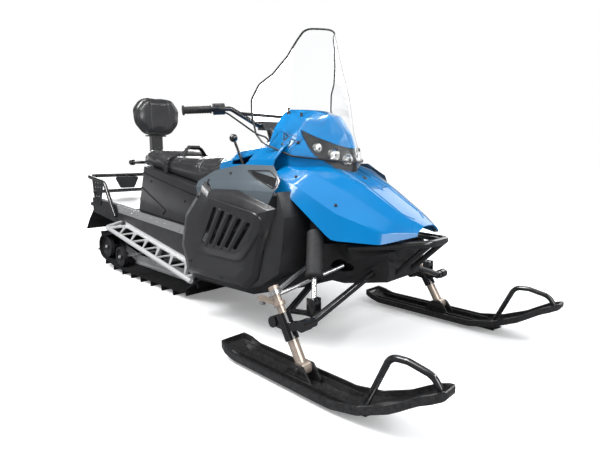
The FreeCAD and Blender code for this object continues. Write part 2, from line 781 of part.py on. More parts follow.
def wheel(radius, centre):
    half = WHEEL_WIDTH / 2
    web = WHEEL_WEB / 2
    bore = AXLE_RADIUS + RUN_GAP
    rim = radius - WHEEL_RIM
    right_side = [(-half, bore), (-half, WHEEL_HUB_RADIUS), (-web, WHEEL_HUB_RADIUS)]
    right_side += [(-web, rim), (-half, rim)]
    left_side = [(half, rim), (web, rim), (web, WHEEL_HUB_RADIUS), (half, WHEEL_HUB_RADIUS), (half, bore)]
    return revolve_x(right_side + [(-half, radius), (half, radius)] + left_side, centre)


def track_wheels():
    front, rear, idler, carrier = track_circles()[1:]
    rows = [(front, INNER_WHEEL_X), (rear, OUTER_WHEEL_X), (idler, INNER_WHEEL_X)]
    rows += [(idler, OUTER_WHEEL_X), (carrier, OUTER_WHEEL_X)]
    wheels = []
    for circle, place in rows:
        for side in (RIGHT, LEFT):
            wheels.append(wheel(circle[2], V(side * place, circle[0], circle[1])))
    return Part.makeCompound(wheels)


def slide_rail():
    front, rear, idler, carrier = track_circles()[1:]
    low = BELT_IN_Z + SEAT_GAP + RAIL_CLEAR
    foot_front = front[0] - FRONT_GUIDE_RADIUS / 2
    rise = SLIDER_HEIGHT + low
    outline = [
        (foot_front, front[1] - AXLE_RADIUS),
        (front[0] + FRONT_GUIDE_RADIUS / 2, rise),
        (rear[0], rise),
        (idler[0] + WHEEL_HUB_RADIUS, idler[1] - WHEEL_HUB_RADIUS),
        (idler[0] + WHEEL_HUB_RADIUS, idler[1] + WHEEL_HUB_RADIUS),
        (rear[0] - RAIL_HEIGHT, rise + RAIL_HEIGHT),
        (front[0] + FRONT_GUIDE_RADIUS, rise + RAIL_HEIGHT),
        (foot_front, front[1] + AXLE_RADIUS * 2),
    ]
    rail = plate_x(outline, RAIL_X - RAIL_WIDTH / 2, RAIL_X + RAIL_WIDTH / 2)
    slider_x = RAIL_X - SLIDER_WIDTH / 2
    slider_front = front[0] + FRONT_GUIDE_RADIUS / 2
    slider = block(slider_x, slider_x + SLIDER_WIDTH, slider_front, rear[0], low, rise)
    return rail.fuse(slider)


def cross_bar(y, z, reach, radius):
    return rod(V(-reach, y, z), V(reach, y, z), radius)


def slide_arm(low_y, low_z, high_y, high_z):
    arm = rod(V(RAIL_X, low_y, low_z), V(RAIL_X, high_y, high_z), ARM_RADIUS)
    low_bar = cross_bar(low_y, low_z, RAIL_X, ARM_CROSS_RADIUS)
    boss = cross_bar(high_y, high_z, RAIL_X + ARM_CROSS_RADIUS, ARM_CROSS_RADIUS)
    shaft = cross_bar(high_y, high_z, TUNNEL_HALF - TUNNEL_WALL, AXLE_RADIUS)
    return [arm, mirrored(arm), low_bar, boss, shaft]


def slide_frame():
    front, rear, idler, carrier = track_circles()[1:]
    rail = slide_rail()
    arm_foot_z = BELT_IN_Z + RAIL_CLEAR + SLIDER_HEIGHT + RAIL_HEIGHT / 2
    pieces = [rail, mirrored(rail)]
    pieces += slide_arm(FRONT_ARM_Y, arm_foot_z, FRONT_ARM_TOP_Y, FRONT_ARM_TOP_Z)
    pieces += slide_arm(REAR_ARM_Y, arm_foot_z, carrier[0], carrier[1])
    reach = WHEEL_WIDTH / 2 + AXLE_END
    pieces.append(cross_bar(front[0], front[1], INNER_WHEEL_X + reach, AXLE_RADIUS))
    pieces.append(cross_bar(rear[0], rear[1], OUTER_WHEEL_X + reach, AXLE_RADIUS))
    pieces.append(cross_bar(idler[0], idler[1], OUTER_WHEEL_X + reach, AXLE_RADIUS))
    return fused(pieces)


def sprocket(centre):
    root = DRIVE_RADIUS - TOOTH_DEPTH
    outline = []
    for tooth in range(SPROCKET_TEETH):
        start = 2 * math.pi * tooth / SPROCKET_TEETH
        for part, rise in TOOTH_SHARES:
            angle = start + part * 2 * math.pi / SPROCKET_TEETH
            reach = root + rise * TOOTH_DEPTH
            outline.append((centre.y + reach * math.cos(angle), centre.z + reach * math.sin(angle)))
    return plate_x(outline, centre.x - SPROCKET_WIDTH / 2, centre.x + SPROCKET_WIDTH / 2)


def drive_axle():
    shaft = cross_bar(DRIVE_Y, DRIVE_Z, TUNNEL_HALF - TUNNEL_WALL, DRIVE_SHAFT_RADIUS)
    wheels = [sprocket(V(side * SPROCKET_X, DRIVE_Y, DRIVE_Z)) for side in (RIGHT, LEFT)]
    return fused([shaft] + wheels)


# Tunnel with its strips, deck, boards and flap

def tunnel_top(y):
    share = (y - TUNNEL_FRONT_Y) / (TUNNEL_REAR_Y - TUNNEL_FRONT_Y)
    return TUNNEL_TOP_FRONT_Z + share * (TUNNEL_TOP_REAR_Z - TUNNEL_TOP_FRONT_Z)


def tunnel():
    low_line = [
        (TUNNEL_FRONT_Y, TUNNEL_LOW_FRONT_Z),
        (TUNNEL_KNEE_Y, TUNNEL_KNEE_Z),
        (TUNNEL_REAR_Y, TUNNEL_LOW_REAR_Z),
    ]
    outline = low_line + [(TUNNEL_REAR_Y, TUNNEL_TOP_REAR_Z), (TUNNEL_FRONT_Y, TUNNEL_TOP_FRONT_Z)]
    shell = plate_x(outline, -TUNNEL_HALF, TUNNEL_HALF)
    hollow_outline = [
        (TUNNEL_FRONT_Y - OVERRUN, 0),
        (TUNNEL_REAR_Y + OVERRUN, 0),
        (TUNNEL_REAR_Y + OVERRUN, tunnel_top(TUNNEL_REAR_Y + OVERRUN) - TUNNEL_WALL),
        (TUNNEL_FRONT_Y - OVERRUN, tunnel_top(TUNNEL_FRONT_Y - OVERRUN) - TUNNEL_WALL),
    ]
    inner_half = TUNNEL_HALF - TUNNEL_WALL
    return shell.cut(plate_x(hollow_outline, -inner_half, inner_half))


def tunnel_side_strips():
    rear_cut = STRIP_HEIGHT / 2
    outline = [
        (STRIP_FRONT_Y, tunnel_top(STRIP_FRONT_Y)),
        (STRIP_FRONT_Y, tunnel_top(STRIP_FRONT_Y) - STRIP_HEIGHT),
        (STRIP_REAR_Y - rear_cut, tunnel_top(STRIP_REAR_Y) - STRIP_HEIGHT),
        (STRIP_REAR_Y, tunnel_top(STRIP_REAR_Y)),
    ]
    return both(plate_x(outline, TUNNEL_HALF, TUNNEL_HALF + STRIP_THICK))


def roof_plate(y_low, y_high, x_low, x_high, gap, thick):
    low = [(y_low, tunnel_top(y_low) + gap), (y_high, tunnel_top(y_high) + gap)]
    high = [(y, z + thick) for y, z in reversed(low)]
    return plate_x(low + high, x_low, x_high)


def cargo_deck():
    half = TUNNEL_HALF - DECK_MARGIN
    plate = roof_plate(DECK_FRONT_Y, TUNNEL_REAR_Y - DECK_MARGIN, -half, half, 0, DECK_THICK)
    room = POST_WIDTH + DECK_NOTCH_GAP
    notch_thick = DECK_THICK + OVERRUN * 2
    notch = roof_plate(DECK_FRONT_Y - OVERRUN, POST_Y + room, -room, room, -OVERRUN, notch_thick)
    return plate.cut(notch)


def board_z(y):
    share = (y - BOARD_FRONT_Y) / (BOARD_REAR_Y - BOARD_FRONT_Y)
    return BOARD_FRONT_Z + share * (BOARD_REAR_Z - BOARD_FRONT_Z)


def board_windows(inner, outer):
    front = BOARD_PLATE_FRONT_Y + BOARD_BRACE / 2
    rear = BOARD_REAR_Y - BOARD_CORNER
    step = (rear - front) / BOARD_WINDOWS
    high = BOARD_REAR_Z + OVERRUN
    low = BOARD_FRONT_Z - OVERRUN - BOARD_PLATE
    brace = BOARD_BRACE / 2
    windows = []
    for index in range(BOARD_WINDOWS):
        start = front + index * step
        end = start + step
        one = [(inner, start + brace), (outer, start + brace), (inner, end - brace)]
        other = [(outer, start + brace * 2), (outer, end), (inner + brace, end)]
        for outline in (one, other):
            windows.append(rounded_plate_z(outline, low, high, BOARD_PLATE))
    return windows


def running_board():
    inner = TUNNEL_HALF
    outer = BOARD_OUT_X - BOARD_TUBE_RADIUS
    middle_z = BOARD_PLATE / 2
    end_y = BOARD_REAR_Y + BOARD_CORNER * 2
    tube_points = [
        V(outer, BOARD_FRONT_Y, BOARD_FRONT_Z),
        V(outer, BOARD_REAR_Y, BOARD_REAR_Z),
        V(inner + BOARD_PLATE, end_y, board_z(end_y)),
    ]
    tube = bent_tube(tube_points, BOARD_TUBE_RADIUS, BOARD_CORNER)
    ends = (BOARD_PLATE_FRONT_Y, BOARD_REAR_Y)
    low = [(y, board_z(y) - middle_z) for y in ends]
    high = [(y, z + BOARD_PLATE) for y, z in reversed(low)]
    plate = plate_x(low + high, inner, outer)
    plate = plate.cut(board_windows(inner + BOARD_EDGE, outer - BOARD_EDGE / 2))
    lip = [(y, z + BOARD_EDGE) for y, z in reversed(low)]
    flange = plate_x(low + lip, inner, inner + BOARD_PLATE)
    return fused([tube, plate, flange])


def running_boards():
    return both(running_board())


def snow_flap():
    face = TUNNEL_REAR_Y + SEAT_GAP
    top = FLAP_TOP_Z + FLAP_THICK
    bulge = V(-TUNNEL_HALF, face + FLAP_REACH * FLAP_BELLY_SHARE, (FLAP_TOP_Z + FLAP_LOW_Z) / 2)
    outer = [V(-TUNNEL_HALF, face, top), bulge, V(-TUNNEL_HALF, face + FLAP_REACH, FLAP_LOW_Z)]
    inner = [corner - V(0, FLAP_THICK / 2, FLAP_THICK) for corner in reversed(outer)]
    inner[-1] = outer[0] - V(0, 0, FLAP_THICK * 2)
    outline = rounded_path(outer + inner, FLAP_BEND, False)
    closing = Part.LineSegment(inner[-1], outer[0]).toShape()
    return Part.Face(Part.Wire(outline.Edges + [closing])).extrude(V(TUNNEL_HALF * 2, 0, 0))


# Cargo rack, tail lamp and hitch

def rack_plate(x):
    top = RACK_TOP_REAR_Z - RACK_TUBE
    foot = tunnel_top(TUNNEL_REAR_Y) - STRIP_HEIGHT
    length = RACK_REAR_Y - RACK_BEND_Y
    top_rear = RACK_REAR_Y - length * RACK_PLATE_SHARES[0]
    top_front = RACK_REAR_Y - length * RACK_PLATE_SHARES[1]
    low_rear = TUNNEL_REAR_Y - length * RACK_PLATE_SHARES[2]
    low_front = TUNNEL_REAR_Y - length * RACK_PLATE_SHARES[3]
    outline = [(low_front, foot), (low_rear, foot)]
    outline += [(top_rear, top + RACK_TUBE / 2), (top_front, top - RACK_TUBE / 2)]
    plate = rounded_plate_x(outline, x, x + RACK_PLATE_THICK, RACK_TUBE)
    holes = []
    rows = len(RACK_HOLE_COLUMNS)
    for row, columns in enumerate(RACK_HOLE_COLUMNS):
        share = (row + 1) / (rows + 1)
        level = foot + (top - foot) * share
        rear = low_rear + share * (top_rear - low_rear)
        front = low_front + share * (top_front - low_front)
        for column in range(columns):
            y = front + (rear - front) * (column + 1) / (columns + 1)
            holes.append(rod(V(x - OVERRUN, y, level), V(x + OVERRUN * 2, y, level), RACK_PLATE_HOLE))
    return plate.cut(holes)


def cargo_rack():
    out = TUNNEL_HALF + RACK_TUBE + SEAT_GAP
    foot = V(out, RACK_FOOT_Y, RACK_FOOT_Z)
    bend = V(out, RACK_BEND_Y, RACK_TOP_FRONT_Z)
    rear = V(out, RACK_REAR_Y, RACK_TOP_REAR_Z)
    half_rail = bent_tube([foot, bend, rear, V(0, rear.y, rear.z)], RACK_TUBE, RACK_BEND_RADIUS)
    low_z = RACK_TOP_REAR_Z - RACK_CROSS_DROP
    low_bar = cross_bar(TUNNEL_REAR_Y - DECK_MARGIN * 4, low_z, out, RACK_TUBE)
    plate = rack_plate(TUNNEL_HALF + SEAT_GAP)
    return fused([half_rail, mirrored(half_rail), low_bar, plate, mirrored(plate)])


def tail_lamp():
    face = RACK_REAR_Y - RACK_TUBE
    top = RACK_TOP_REAR_Z - RACK_TUBE - SEAT_GAP
    low = top - LAMP_HEIGHT
    wide = LAMP_TOP_WIDTH / 2
    narrow = LAMP_LOW_WIDTH / 2
    outline = [(-wide, top), (wide, top), (narrow, low), (-narrow, low)]
    return rounded_plate_y(outline, face - LAMP_DEPTH / 2, face + LAMP_DEPTH / 2, RACK_TUBE)


def rear_hitch():
    start_y = TUNNEL_REAR_Y - DECK_MARGIN
    wall = TUNNEL_HALF - TUNNEL_WALL - HITCH_TUBE - SEAT_GAP
    points = [V(wall, start_y, HITCH_Z), V(wall, HITCH_Y, HITCH_Z), V(0, HITCH_Y, HITCH_Z)]
    side = bent_tube(points, HITCH_TUBE, RACK_BEND_RADIUS)
    out = HITCH_Y + HITCH_TONGUE_OUT
    width = HITCH_TONGUE_WIDTH / 2
    outline = [(-width, HITCH_Y), (width, HITCH_Y), (width, out), (-width, out)]
    thick = HITCH_TONGUE_THICK / 2
    tongue = rounded_plate_z(outline, HITCH_Z - thick, HITCH_Z + thick, width / 2)
    pin_y = HITCH_Y + HITCH_TONGUE_OUT / 2 + HITCH_TUBE / 2
    hole = rod(V(0, pin_y, HITCH_Z - HITCH_TUBE), V(0, pin_y, HITCH_Z + HITCH_TUBE), HITCH_BORE_RADIUS)
    return fused([side, mirrored(side), tongue]).cut(hole)


# Bodywork

def hood_stations():
    stations = spread(HOOD_STATION_SHARES, HOOD_FRONT_Y, HOOD_REAR_Y)
    return stations, half_sections(HOOD_SECTION_SHARES, HOOD_HALF, HOOD_LOW_Z, HOOD_HEIGHT)


def hood():
    stations, sections = hood_stations()
    return skin(stations, sections, HOOD_WALL, False, True)


def cowl_stations():
    stations = spread(COWL_STATION_SHARES, COWL_FRONT_Y, COWL_REAR_Y)
    return stations, half_sections(COWL_SECTION_SHARES, COWL_HALF, COWL_LOW_Z, COWL_HEIGHT)


def lamp_slit(gap):
    return plate_x(inset(LAMP_SLIT_OUTLINE, gap), -COWL_HALF, COWL_HALF)


def screen_place(x, z):
    levels = [level[0] for level in SCREEN_LEVELS]
    index = max(i for i in range(len(levels) - 1) if levels[i] <= z)
    low, high = SCREEN_LEVELS[index], SCREEN_LEVELS[index + 1]
    share = (z - low[0]) / (high[0] - low[0])
    middle = low[1] + share * (high[1] - low[1])
    swell = low[2] + share * (high[2] - low[2])
    return middle + swell * SCREEN_HALF * (abs(x) / SCREEN_HALF) ** SCREEN_POWER


def screen_line(level, depth):
    z, middle, swell = level
    points = []
    for share in SCREEN_ARC_SHARES:
        y = middle + swell * SCREEN_HALF * abs(share) ** SCREEN_POWER + depth
        points.append(V(share * SCREEN_HALF, y, z))
    curve = Part.BSplineCurve()
    curve.interpolate(points)
    return curve.toShape(), points


def screen_sheet(gap):
    wires = []
    for level in SCREEN_LEVELS:
        outer, out_points = screen_line(level, -gap)
        inner, in_points = screen_line(level, SCREEN_THICK + gap)
        left = Part.LineSegment(out_points[-1], in_points[-1]).toShape()
        right = Part.LineSegment(in_points[0], out_points[0]).toShape()
        wires.append(Part.Wire(Part.__sortEdges__([outer, left, inner, right])))
    return ruled_loft(wires)


def screen_bosses():
    bosses = []
    for x, z in SCREEN_BOSS_SPOTS:
        lean = screen_place(x + SCREEN_BOSS_RADIUS, z) - screen_place(x, z)
        start = screen_place(x, z) + SCREEN_THICK + lean + SEAT_GAP
        bosses.append(rod(V(x, start, z), V(x, start + MOVE_GAP * 12, z), SCREEN_BOSS_RADIUS))
    return bosses


def cowl():
    stations, sections = cowl_stations()
    shell = skin(stations, sections, COWL_WALL, False, True).cut(lamp_slit(0))
    bosses = screen_bosses()
    shell = fused([shell] + bosses + [mirrored(boss) for boss in bosses])
    return largest(shell.cut([full_body(*hood_stations(), SEAT_GAP), screen_sheet(SEAT_GAP * 3)]))


def headlights():
    stations, sections = cowl_stations()
    wires = []
    for y, half in zip(stations[:4], sections[:4]):
        place = y + COWL_WALL if y == stations[0] else y
        wires.append(section_wire(inset(closed_section(half), COWL_WALL + SEAT_GAP), place))
    bosses = screen_bosses()
    room = [full_body(*hood_stations(), SEAT_GAP)]
    for boss in bosses + [mirrored(boss) for boss in bosses]:
        middle = boss.CenterOfMass
        reach = V(0, MOVE_GAP * 12, 0)
        room.append(rod(middle - reach, middle + reach, SCREEN_BOSS_RADIUS + SEAT_GAP))
    return largest(ruled_loft(wires).common(lamp_slit(-SEAT_GAP)).cut(room))


def console_stations():
    stations = spread(CONSOLE_STATION_SHARES, CONSOLE_FRONT_Y, CONSOLE_REAR_Y)
    return stations, half_sections(CONSOLE_SECTION_SHARES, CONSOLE_HALF, CONSOLE_LOW_Z, CONSOLE_HEIGHT)


def post_axis():
    rake = math.radians(STEER_RAKE_DEG)
    return V(0, math.sin(rake), math.cos(rake))


def post_point(reach):
    return V(0, STEER_HUB_Y, STEER_HUB_Z) + post_axis() * reach


def console():
    stations, sections = console_stations()
    shell = skin(stations, sections, CONSOLE_WALL, True, False)
    reach = CONSOLE_HEIGHT * 2
    well = Part.makeCylinder(POST_WELL_RADIUS, reach * 2, post_point(-reach), post_axis())
    slot = block(
        SHIFT_X - SHIFT_SLOT_HALF, SHIFT_X + SHIFT_SLOT_HALF, SHIFT_SLOT_FRONT_Y, SHIFT_SLOT_REAR_Y,
        SHIFT_SLOT_LOW_Z, CONSOLE_LOW_Z + CONSOLE_HEIGHT)
    cowl_room = full_body(*cowl_stations(), SEAT_GAP)
    return largest(shell.cut([well, slot, cowl_room, screen_sheet(SEAT_GAP * 3)]))


def shift_lever():
    foot = V(SHIFT_X, SHIFT_Y, SHIFT_LOW_Z)
    top = V(SHIFT_X, SHIFT_TOP_Y, SHIFT_HIGH_Z)
    pin = rod(foot - V(CONSOLE_HALF, 0, 0), foot, SHIFT_STALK_RADIUS)
    lever = fused([rod(foot, top, SHIFT_STALK_RADIUS), Part.makeSphere(SHIFT_KNOB, top), pin])
    return largest(lever.cut(console()))


def panel_outline():
    return outline_from(PANEL_OUTLINE_SHARES, PANEL_FRONT_Y, PANEL_REAR_Y, PANEL_LOW_Z, PANEL_HIGH_Z)


def panel_bulge(outline):
    middle_y = sum(y for y, z in outline) / len(outline)
    middle_z = sum(z for y, z in outline) / len(outline)
    wires = []
    for share, out in PANEL_RING_SHARES:
        x = PANEL_X + PANEL_CROWN * out
        scaled = [((y - middle_y) * share, (z - middle_z) * share) for y, z in outline]
        ring = [V(x, middle_y + y, middle_z + z) for y, z in scaled]
        wires.append(Part.makePolygon(ring + [ring[0]]))
    return ruled_loft(wires)


def louvre(index):
    low_y = LOUVRE_FRONT_Y + LOUVRE_STEP_Y * index
    low = LOUVRE_LOW_Z
    high = low + LOUVRE_HEIGHT + LOUVRE_GROWTH * index
    high_y = low_y - LOUVRE_LEAN
    corners = [(low_y, low), (low_y + LOUVRE_WIDTH, low), (high_y + LOUVRE_WIDTH, high), (high_y, high)]
    return rounded_plate_x(corners, PANEL_X - PANEL_CROWN, PANEL_X + PANEL_CROWN * 2, LOUVRE_WIDTH / 3)


def belly_stations():
    stations = spread(BELLY_STATION_SHARES, BELLY_FRONT_Y, BELLY_REAR_Y)
    return stations, half_sections(BELLY_SECTION_SHARES, BELLY_HALF, BELLY_LOW_Z, BELLY_HIGH_Z - BELLY_LOW_Z)


def side_panel():
    outline = panel_outline()
    bulge = panel_bulge(outline)
    wall = bulge.cut(bulge.translated(V(-PANEL_WALL, 0, 0)))
    room = bulge.fuse(plate_x(outline, PANEL_INNER_X, PANEL_X))
    belly = full_body(*belly_stations(), SEAT_GAP)
    bosses = []
    for y, z in PANEL_BOSS_SPOTS:
        boss = rod(V(PANEL_INNER_X, y, z), V(PANEL_X + PANEL_CROWN * 2, y, z), PANEL_BOSS_RADIUS)
        bosses.append(boss.common(room).cut(belly))
    return largest(fused([wall] + bosses).cut([louvre(index) for index in range(LOUVRES)]))


def side_panels():
    return both(side_panel())


def upper_slab(inner):
    low_z = min(z for y, z in UPPER_OUTLINE) - OVERRUN
    top_x = PANEL_X - UPPER_LEAN
    outer = [(PANEL_X, low_z), (PANEL_X, UPPER_KNEE_Z), (top_x, UPPER_HIGH_Z)]
    back = [(x - inner, z) for x, z in reversed(outer)]
    return plate_y(outer + back, UPPER_OUTLINE[0][0] - OVERRUN, UPPER_OUTLINE[5][0] + OVERRUN)


def upper_panel():
    panel_room = plate_x(inset(panel_outline(), SEAT_GAP), PANEL_INNER_X, PANEL_X + PANEL_CROWN * 2)
    column = plate_x(UPPER_OUTLINE, PANEL_INNER_X, PANEL_X + PANEL_CROWN)
    hood_room = full_body(*hood_stations(), SEAT_GAP)
    sheet = largest(column.common(upper_slab(PANEL_WALL)).cut([panel_room, hood_room]))
    console_room = full_body(*console_stations(), SEAT_GAP)
    bosses = []
    for y, z in UPPER_BOSS_SPOTS:
        boss = rod(V(0, y, z), V(PANEL_X, y, z), PANEL_BOSS_RADIUS)
        bosses.append(largest(boss.common(upper_slab(PANEL_X)).cut(console_room)))
    return fused([sheet] + bosses)


def upper_panels():
    return both(upper_panel())


def side_fairing():
    outer = list(FAIRING_OUTLINE)
    inner = [(y + FAIRING_WALL, z) for y, z in reversed(outer)]
    wall = plate_x(outer + inner, FAIRING_INNER_X, PANEL_X)
    rooms = [full_body(*hood_stations(), SEAT_GAP), full_body(*belly_stations(), SEAT_GAP)]
    rooms.append(plate_x(inset(panel_outline(), SEAT_GAP), FAIRING_INNER_X, PANEL_X + OVERRUN))
    return largest(wall.cut(rooms))


def side_fairings():
    return both(side_fairing())


def belly_pan():
    stations, sections = belly_stations()
    outer = ruled_loft([section_wire(closed_section(half), y) for y, half in zip(stations, sections)])
    wires = []
    for index, (y, half) in enumerate(zip(stations, sections)):
        core = inset(closed_section(half), BELLY_WALL)
        for edge in (0, 1, len(core) - 1):
            core[edge] = (core[edge][0], half[0][1] + OVERRUN)
        place = y + BELLY_WALL if index == 0 else y
        place = y + OVERRUN if index == len(stations) - 1 else place
        wires.append(section_wire(core, place))
    bay_half = HALF_BELT + OVERRUN
    rooms = [ruled_loft(wires), frame_room(SEAT_GAP)]
    bay_front, bay_rear = TUNNEL_FRONT_Y - OVERRUN, BELLY_REAR_Y + OVERRUN
    rooms.append(block(-bay_half, bay_half, bay_front, bay_rear, 0, BELLY_HIGH_Z))
    for name, side in SIDES:
        rooms += [rod(start, end, radius + MOVE_GAP) for start, end, radius in through_belly(side)]
    return largest(outer.cut(rooms))


# Windscreen

def windscreen():
    trim = rounded_plate_x(SCREEN_TRIM_OUTLINE, -SCREEN_HALF * 2, SCREEN_HALF * 2, SCREEN_TRIM_RADIUS)
    return screen_sheet(0).common(trim)


# Seat, backrest and what carries them

def cushion_ring(y, low, high, half):
    points = [(x * half, low + z * (high - low)) for x, z in SEAT_SECTION_SHARES]
    ring = [V(x, y, z) for x, z in points] + [V(-x, y, z) for x, z in reversed(points)]
    return Part.makePolygon(ring + [ring[0]])


def box_top(y):
    share = (y - BOX_FRONT_Y) / (BOX_REAR_Y - BOX_FRONT_Y)
    return BOX_TOP_FRONT_Z + share * (BOX_TOP_REAR_Z - BOX_TOP_FRONT_Z)


def seat_box():
    low = [(y, tunnel_top(y) + SEAT_GAP) for y in (BOX_FRONT_Y, BOX_REAR_Y)]
    high = [(y, box_top(y)) for y in (BOX_REAR_Y, BOX_FRONT_Y)]
    body = plate_x(low + high, -BOX_HALF, BOX_HALF)
    foot_z = tunnel_top(BOX_FRONT_Y)
    lean = [(-BOX_HALF, foot_z), (BOX_HALF, foot_z)]
    lean += [(BOX_TOP_HALF, BOX_TOP_REAR_Z), (-BOX_TOP_HALF, BOX_TOP_REAR_Z)]
    return body.common(plate_y(lean, BOX_FRONT_Y, BOX_REAR_Y))


def front_seat():
    mid_y = (SEAT_FRONT_Y + SEAT_JOINT_Y) / 2
    low = SEAT_GAP * 2
    nose_low = box_top(BOX_FRONT_Y) + low
    rings = [
        cushion_ring(SEAT_FRONT_Y, nose_low, SEAT_TOP_Z - SEAT_DIP * 2, SEAT_HALF * SEAT_NOSE_SHARE),
        cushion_ring(BOX_FRONT_Y, nose_low, SEAT_TOP_Z - SEAT_DIP / 2, SEAT_HALF * SEAT_SHOULDER_SHARE),
        cushion_ring(mid_y, box_top(mid_y) + low, SEAT_TOP_Z - SEAT_DIP, SEAT_HALF),
        cushion_ring(SEAT_JOINT_Y - SEAT_GAP, box_top(SEAT_JOINT_Y) + low, SEAT_TOP_Z, SEAT_HALF),
    ]
    return ruled_loft(rings)


def rear_seat():
    low = SEAT_GAP * 2
    mid_y = SEAT_JOINT_Y + (BOX_REAR_Y - SEAT_JOINT_Y) * HUMP_RISE_SHARE
    rear_low = box_top(BOX_REAR_Y) + low
    rings = [
        cushion_ring(SEAT_JOINT_Y, box_top(SEAT_JOINT_Y) + low, SEAT_TOP_Z, SEAT_HALF),
        cushion_ring(mid_y, box_top(mid_y) + low, SEAT_HUMP_Z - SEAT_DIP, SEAT_HALF),
        cushion_ring(BOX_REAR_Y, rear_low, SEAT_HUMP_Z, SEAT_HALF),
        cushion_ring(SEAT_REAR_Y, rear_low, SEAT_HUMP_Z - SEAT_DIP, SEAT_HALF * SEAT_TAIL_SHARE),
    ]
    return ruled_loft(rings)


def seat_strap():
    y = SEAT_JOINT_Y - STRAP_WIDTH / 2 - SEAT_GAP
    half = STRAP_THICK / 2
    top = SEAT_TOP_Z + SEAT_GAP + half
    side = SEAT_HALF + SEAT_GAP + half
    low = box_top(SEAT_JOINT_Y) + SEAT_GAP
    right = [V(-side, y, low), V(-side, y, top), V(-STRAP_LOOP_HALF * 2, y, top)]
    right.append(V(-STRAP_LOOP_HALF, y, top + STRAP_LOOP_HEIGHT))
    path = rounded_path(right + [V(-point.x, y, point.z) for point in reversed(right)], STRAP_BEND)
    width = STRAP_WIDTH / 2
    corners = [(-half, -width), (half, -width), (half, width), (-half, width), (-half, -width)]
    profile = Part.makePolygon([right[0] + V(across, along, 0) for across, along in corners])
    return path.makePipeShell([profile], True, False)


def seat_frame():
    top = BACK_LOW_Z - SEAT_GAP
    half = POST_WIDTH / 2
    rear = POST_Y + POST_DEPTH / 2
    front = POST_Y - POST_DEPTH / 2
    post = block(-half, half, front, rear, tunnel_top(rear) + SEAT_GAP, top)
    foot_front, foot_rear = POST_Y - POST_WIDTH, POST_Y + POST_WIDTH
    foot = roof_plate(foot_front, foot_rear, -POST_WIDTH, POST_WIDTH, SEAT_GAP, DECK_THICK)
    head_half = POST_HEAD_WIDTH / 2
    head_depth = POST_HEAD_DEPTH / 2
    head = block(-head_half, head_half, POST_Y - head_depth, POST_Y + head_depth, top - POST_HEAD_THICK, top)
    pieces = [post, foot, head]
    for side in (RIGHT, LEFT):
        bend = V(side * GRAB_X, POST_Y, GRAB_Z)
        end = V(side * GRAB_X, GRAB_END_Y, GRAB_Z)
        pieces.append(bent_tube([V(0, POST_Y, GRAB_Z), bend, end], GRAB_RADIUS, GRAB_BEND))
        pieces.append(rod(end - V(0, GRAB_KNOB, 0), end + V(0, GRAB_KNOB / 2, 0), GRAB_KNOB))
    return fused(pieces)


def backrest_pad():
    height = BACK_HIGH_Z - BACK_LOW_Z
    outline = [(a * BACK_HALF, BACK_LOW_Z + b * height) for a, b in BACK_OUTLINE_SHARES]
    front = BACK_Y - BACK_THICK / 2
    return rounded_plate_y(outline, front, front + BACK_THICK, BACK_ROUND)


# Engine block, front frame, steering support and bumper

def engine_block():
    return block(-ENGINE_HALF, ENGINE_HALF, ENGINE_FRONT_Y, ENGINE_REAR_Y, ENGINE_LOW_Z, ENGINE_HIGH_Z)


def frame_room(gap):
    return plate_x(inset(FRAME_OUTLINE, gap), -FRAME_HALF - gap, FRAME_HALF + gap)


def front_frame():
    walls = inset(FRAME_OUTLINE, -FRAME_WALL)
    roof = max(z for y, z in FRAME_OUTLINE) + OVERRUN
    core_outline = walls[:4] + [(walls[4][0], roof), (walls[5][0], roof)]
    core = plate_x(core_outline, FRAME_WALL - FRAME_HALF, FRAME_HALF - FRAME_WALL)
    channel = plate_x(FRAME_OUTLINE, -FRAME_HALF, FRAME_HALF).cut(core)
    rail_z = ENGINE_LOW_Z - SEAT_GAP - CRADLE_TUBE
    front = V(CRADLE_X, CRADLE_FRONT_Y, CRADLE_FRONT_Z)
    rail = bent_tube([front, V(CRADLE_X, CRADLE_BEND_Y, rail_z), V(CRADLE_X, CRADLE_END_Y, rail_z)],
                     CRADLE_TUBE, CRADLE_BEND)
    wall_x = TUNNEL_HALF - TUNNEL_WALL - SEAT_GAP
    cross = cross_bar(CRADLE_END_Y, rail_z, wall_x - CRADLE_PLATE_THICK / 2, CRADLE_TUBE)
    plate_half = CRADLE_PLATE_HEIGHT / 2
    plate_front, plate_rear = CRADLE_END_Y - CRADLE_TUBE, CRADLE_END_Y + CRADLE_PLATE_LENGTH
    plate = block(wall_x - CRADLE_PLATE_THICK, wall_x, plate_front, plate_rear,
                  rail_z - plate_half, rail_z + plate_half)
    mount = V(SHOCK_MOUNT_X, SHOCK_TOP_Y, SHOCK_TOP_Z)
    tower = rod(V(0, mount.y, mount.z), mount, SHOCK_BODY_RADIUS)
    leg = block(-FRAME_HALF, FRAME_HALF, mount.y - SHOCK_BODY_RADIUS, mount.y + SHOCK_BODY_RADIUS,
                FRAME_OUTLINE[4][1] - FRAME_WALL, mount.z)
    return fused([channel, rail, mirrored(rail), cross, plate, mirrored(plate), tower, mirrored(tower), leg])


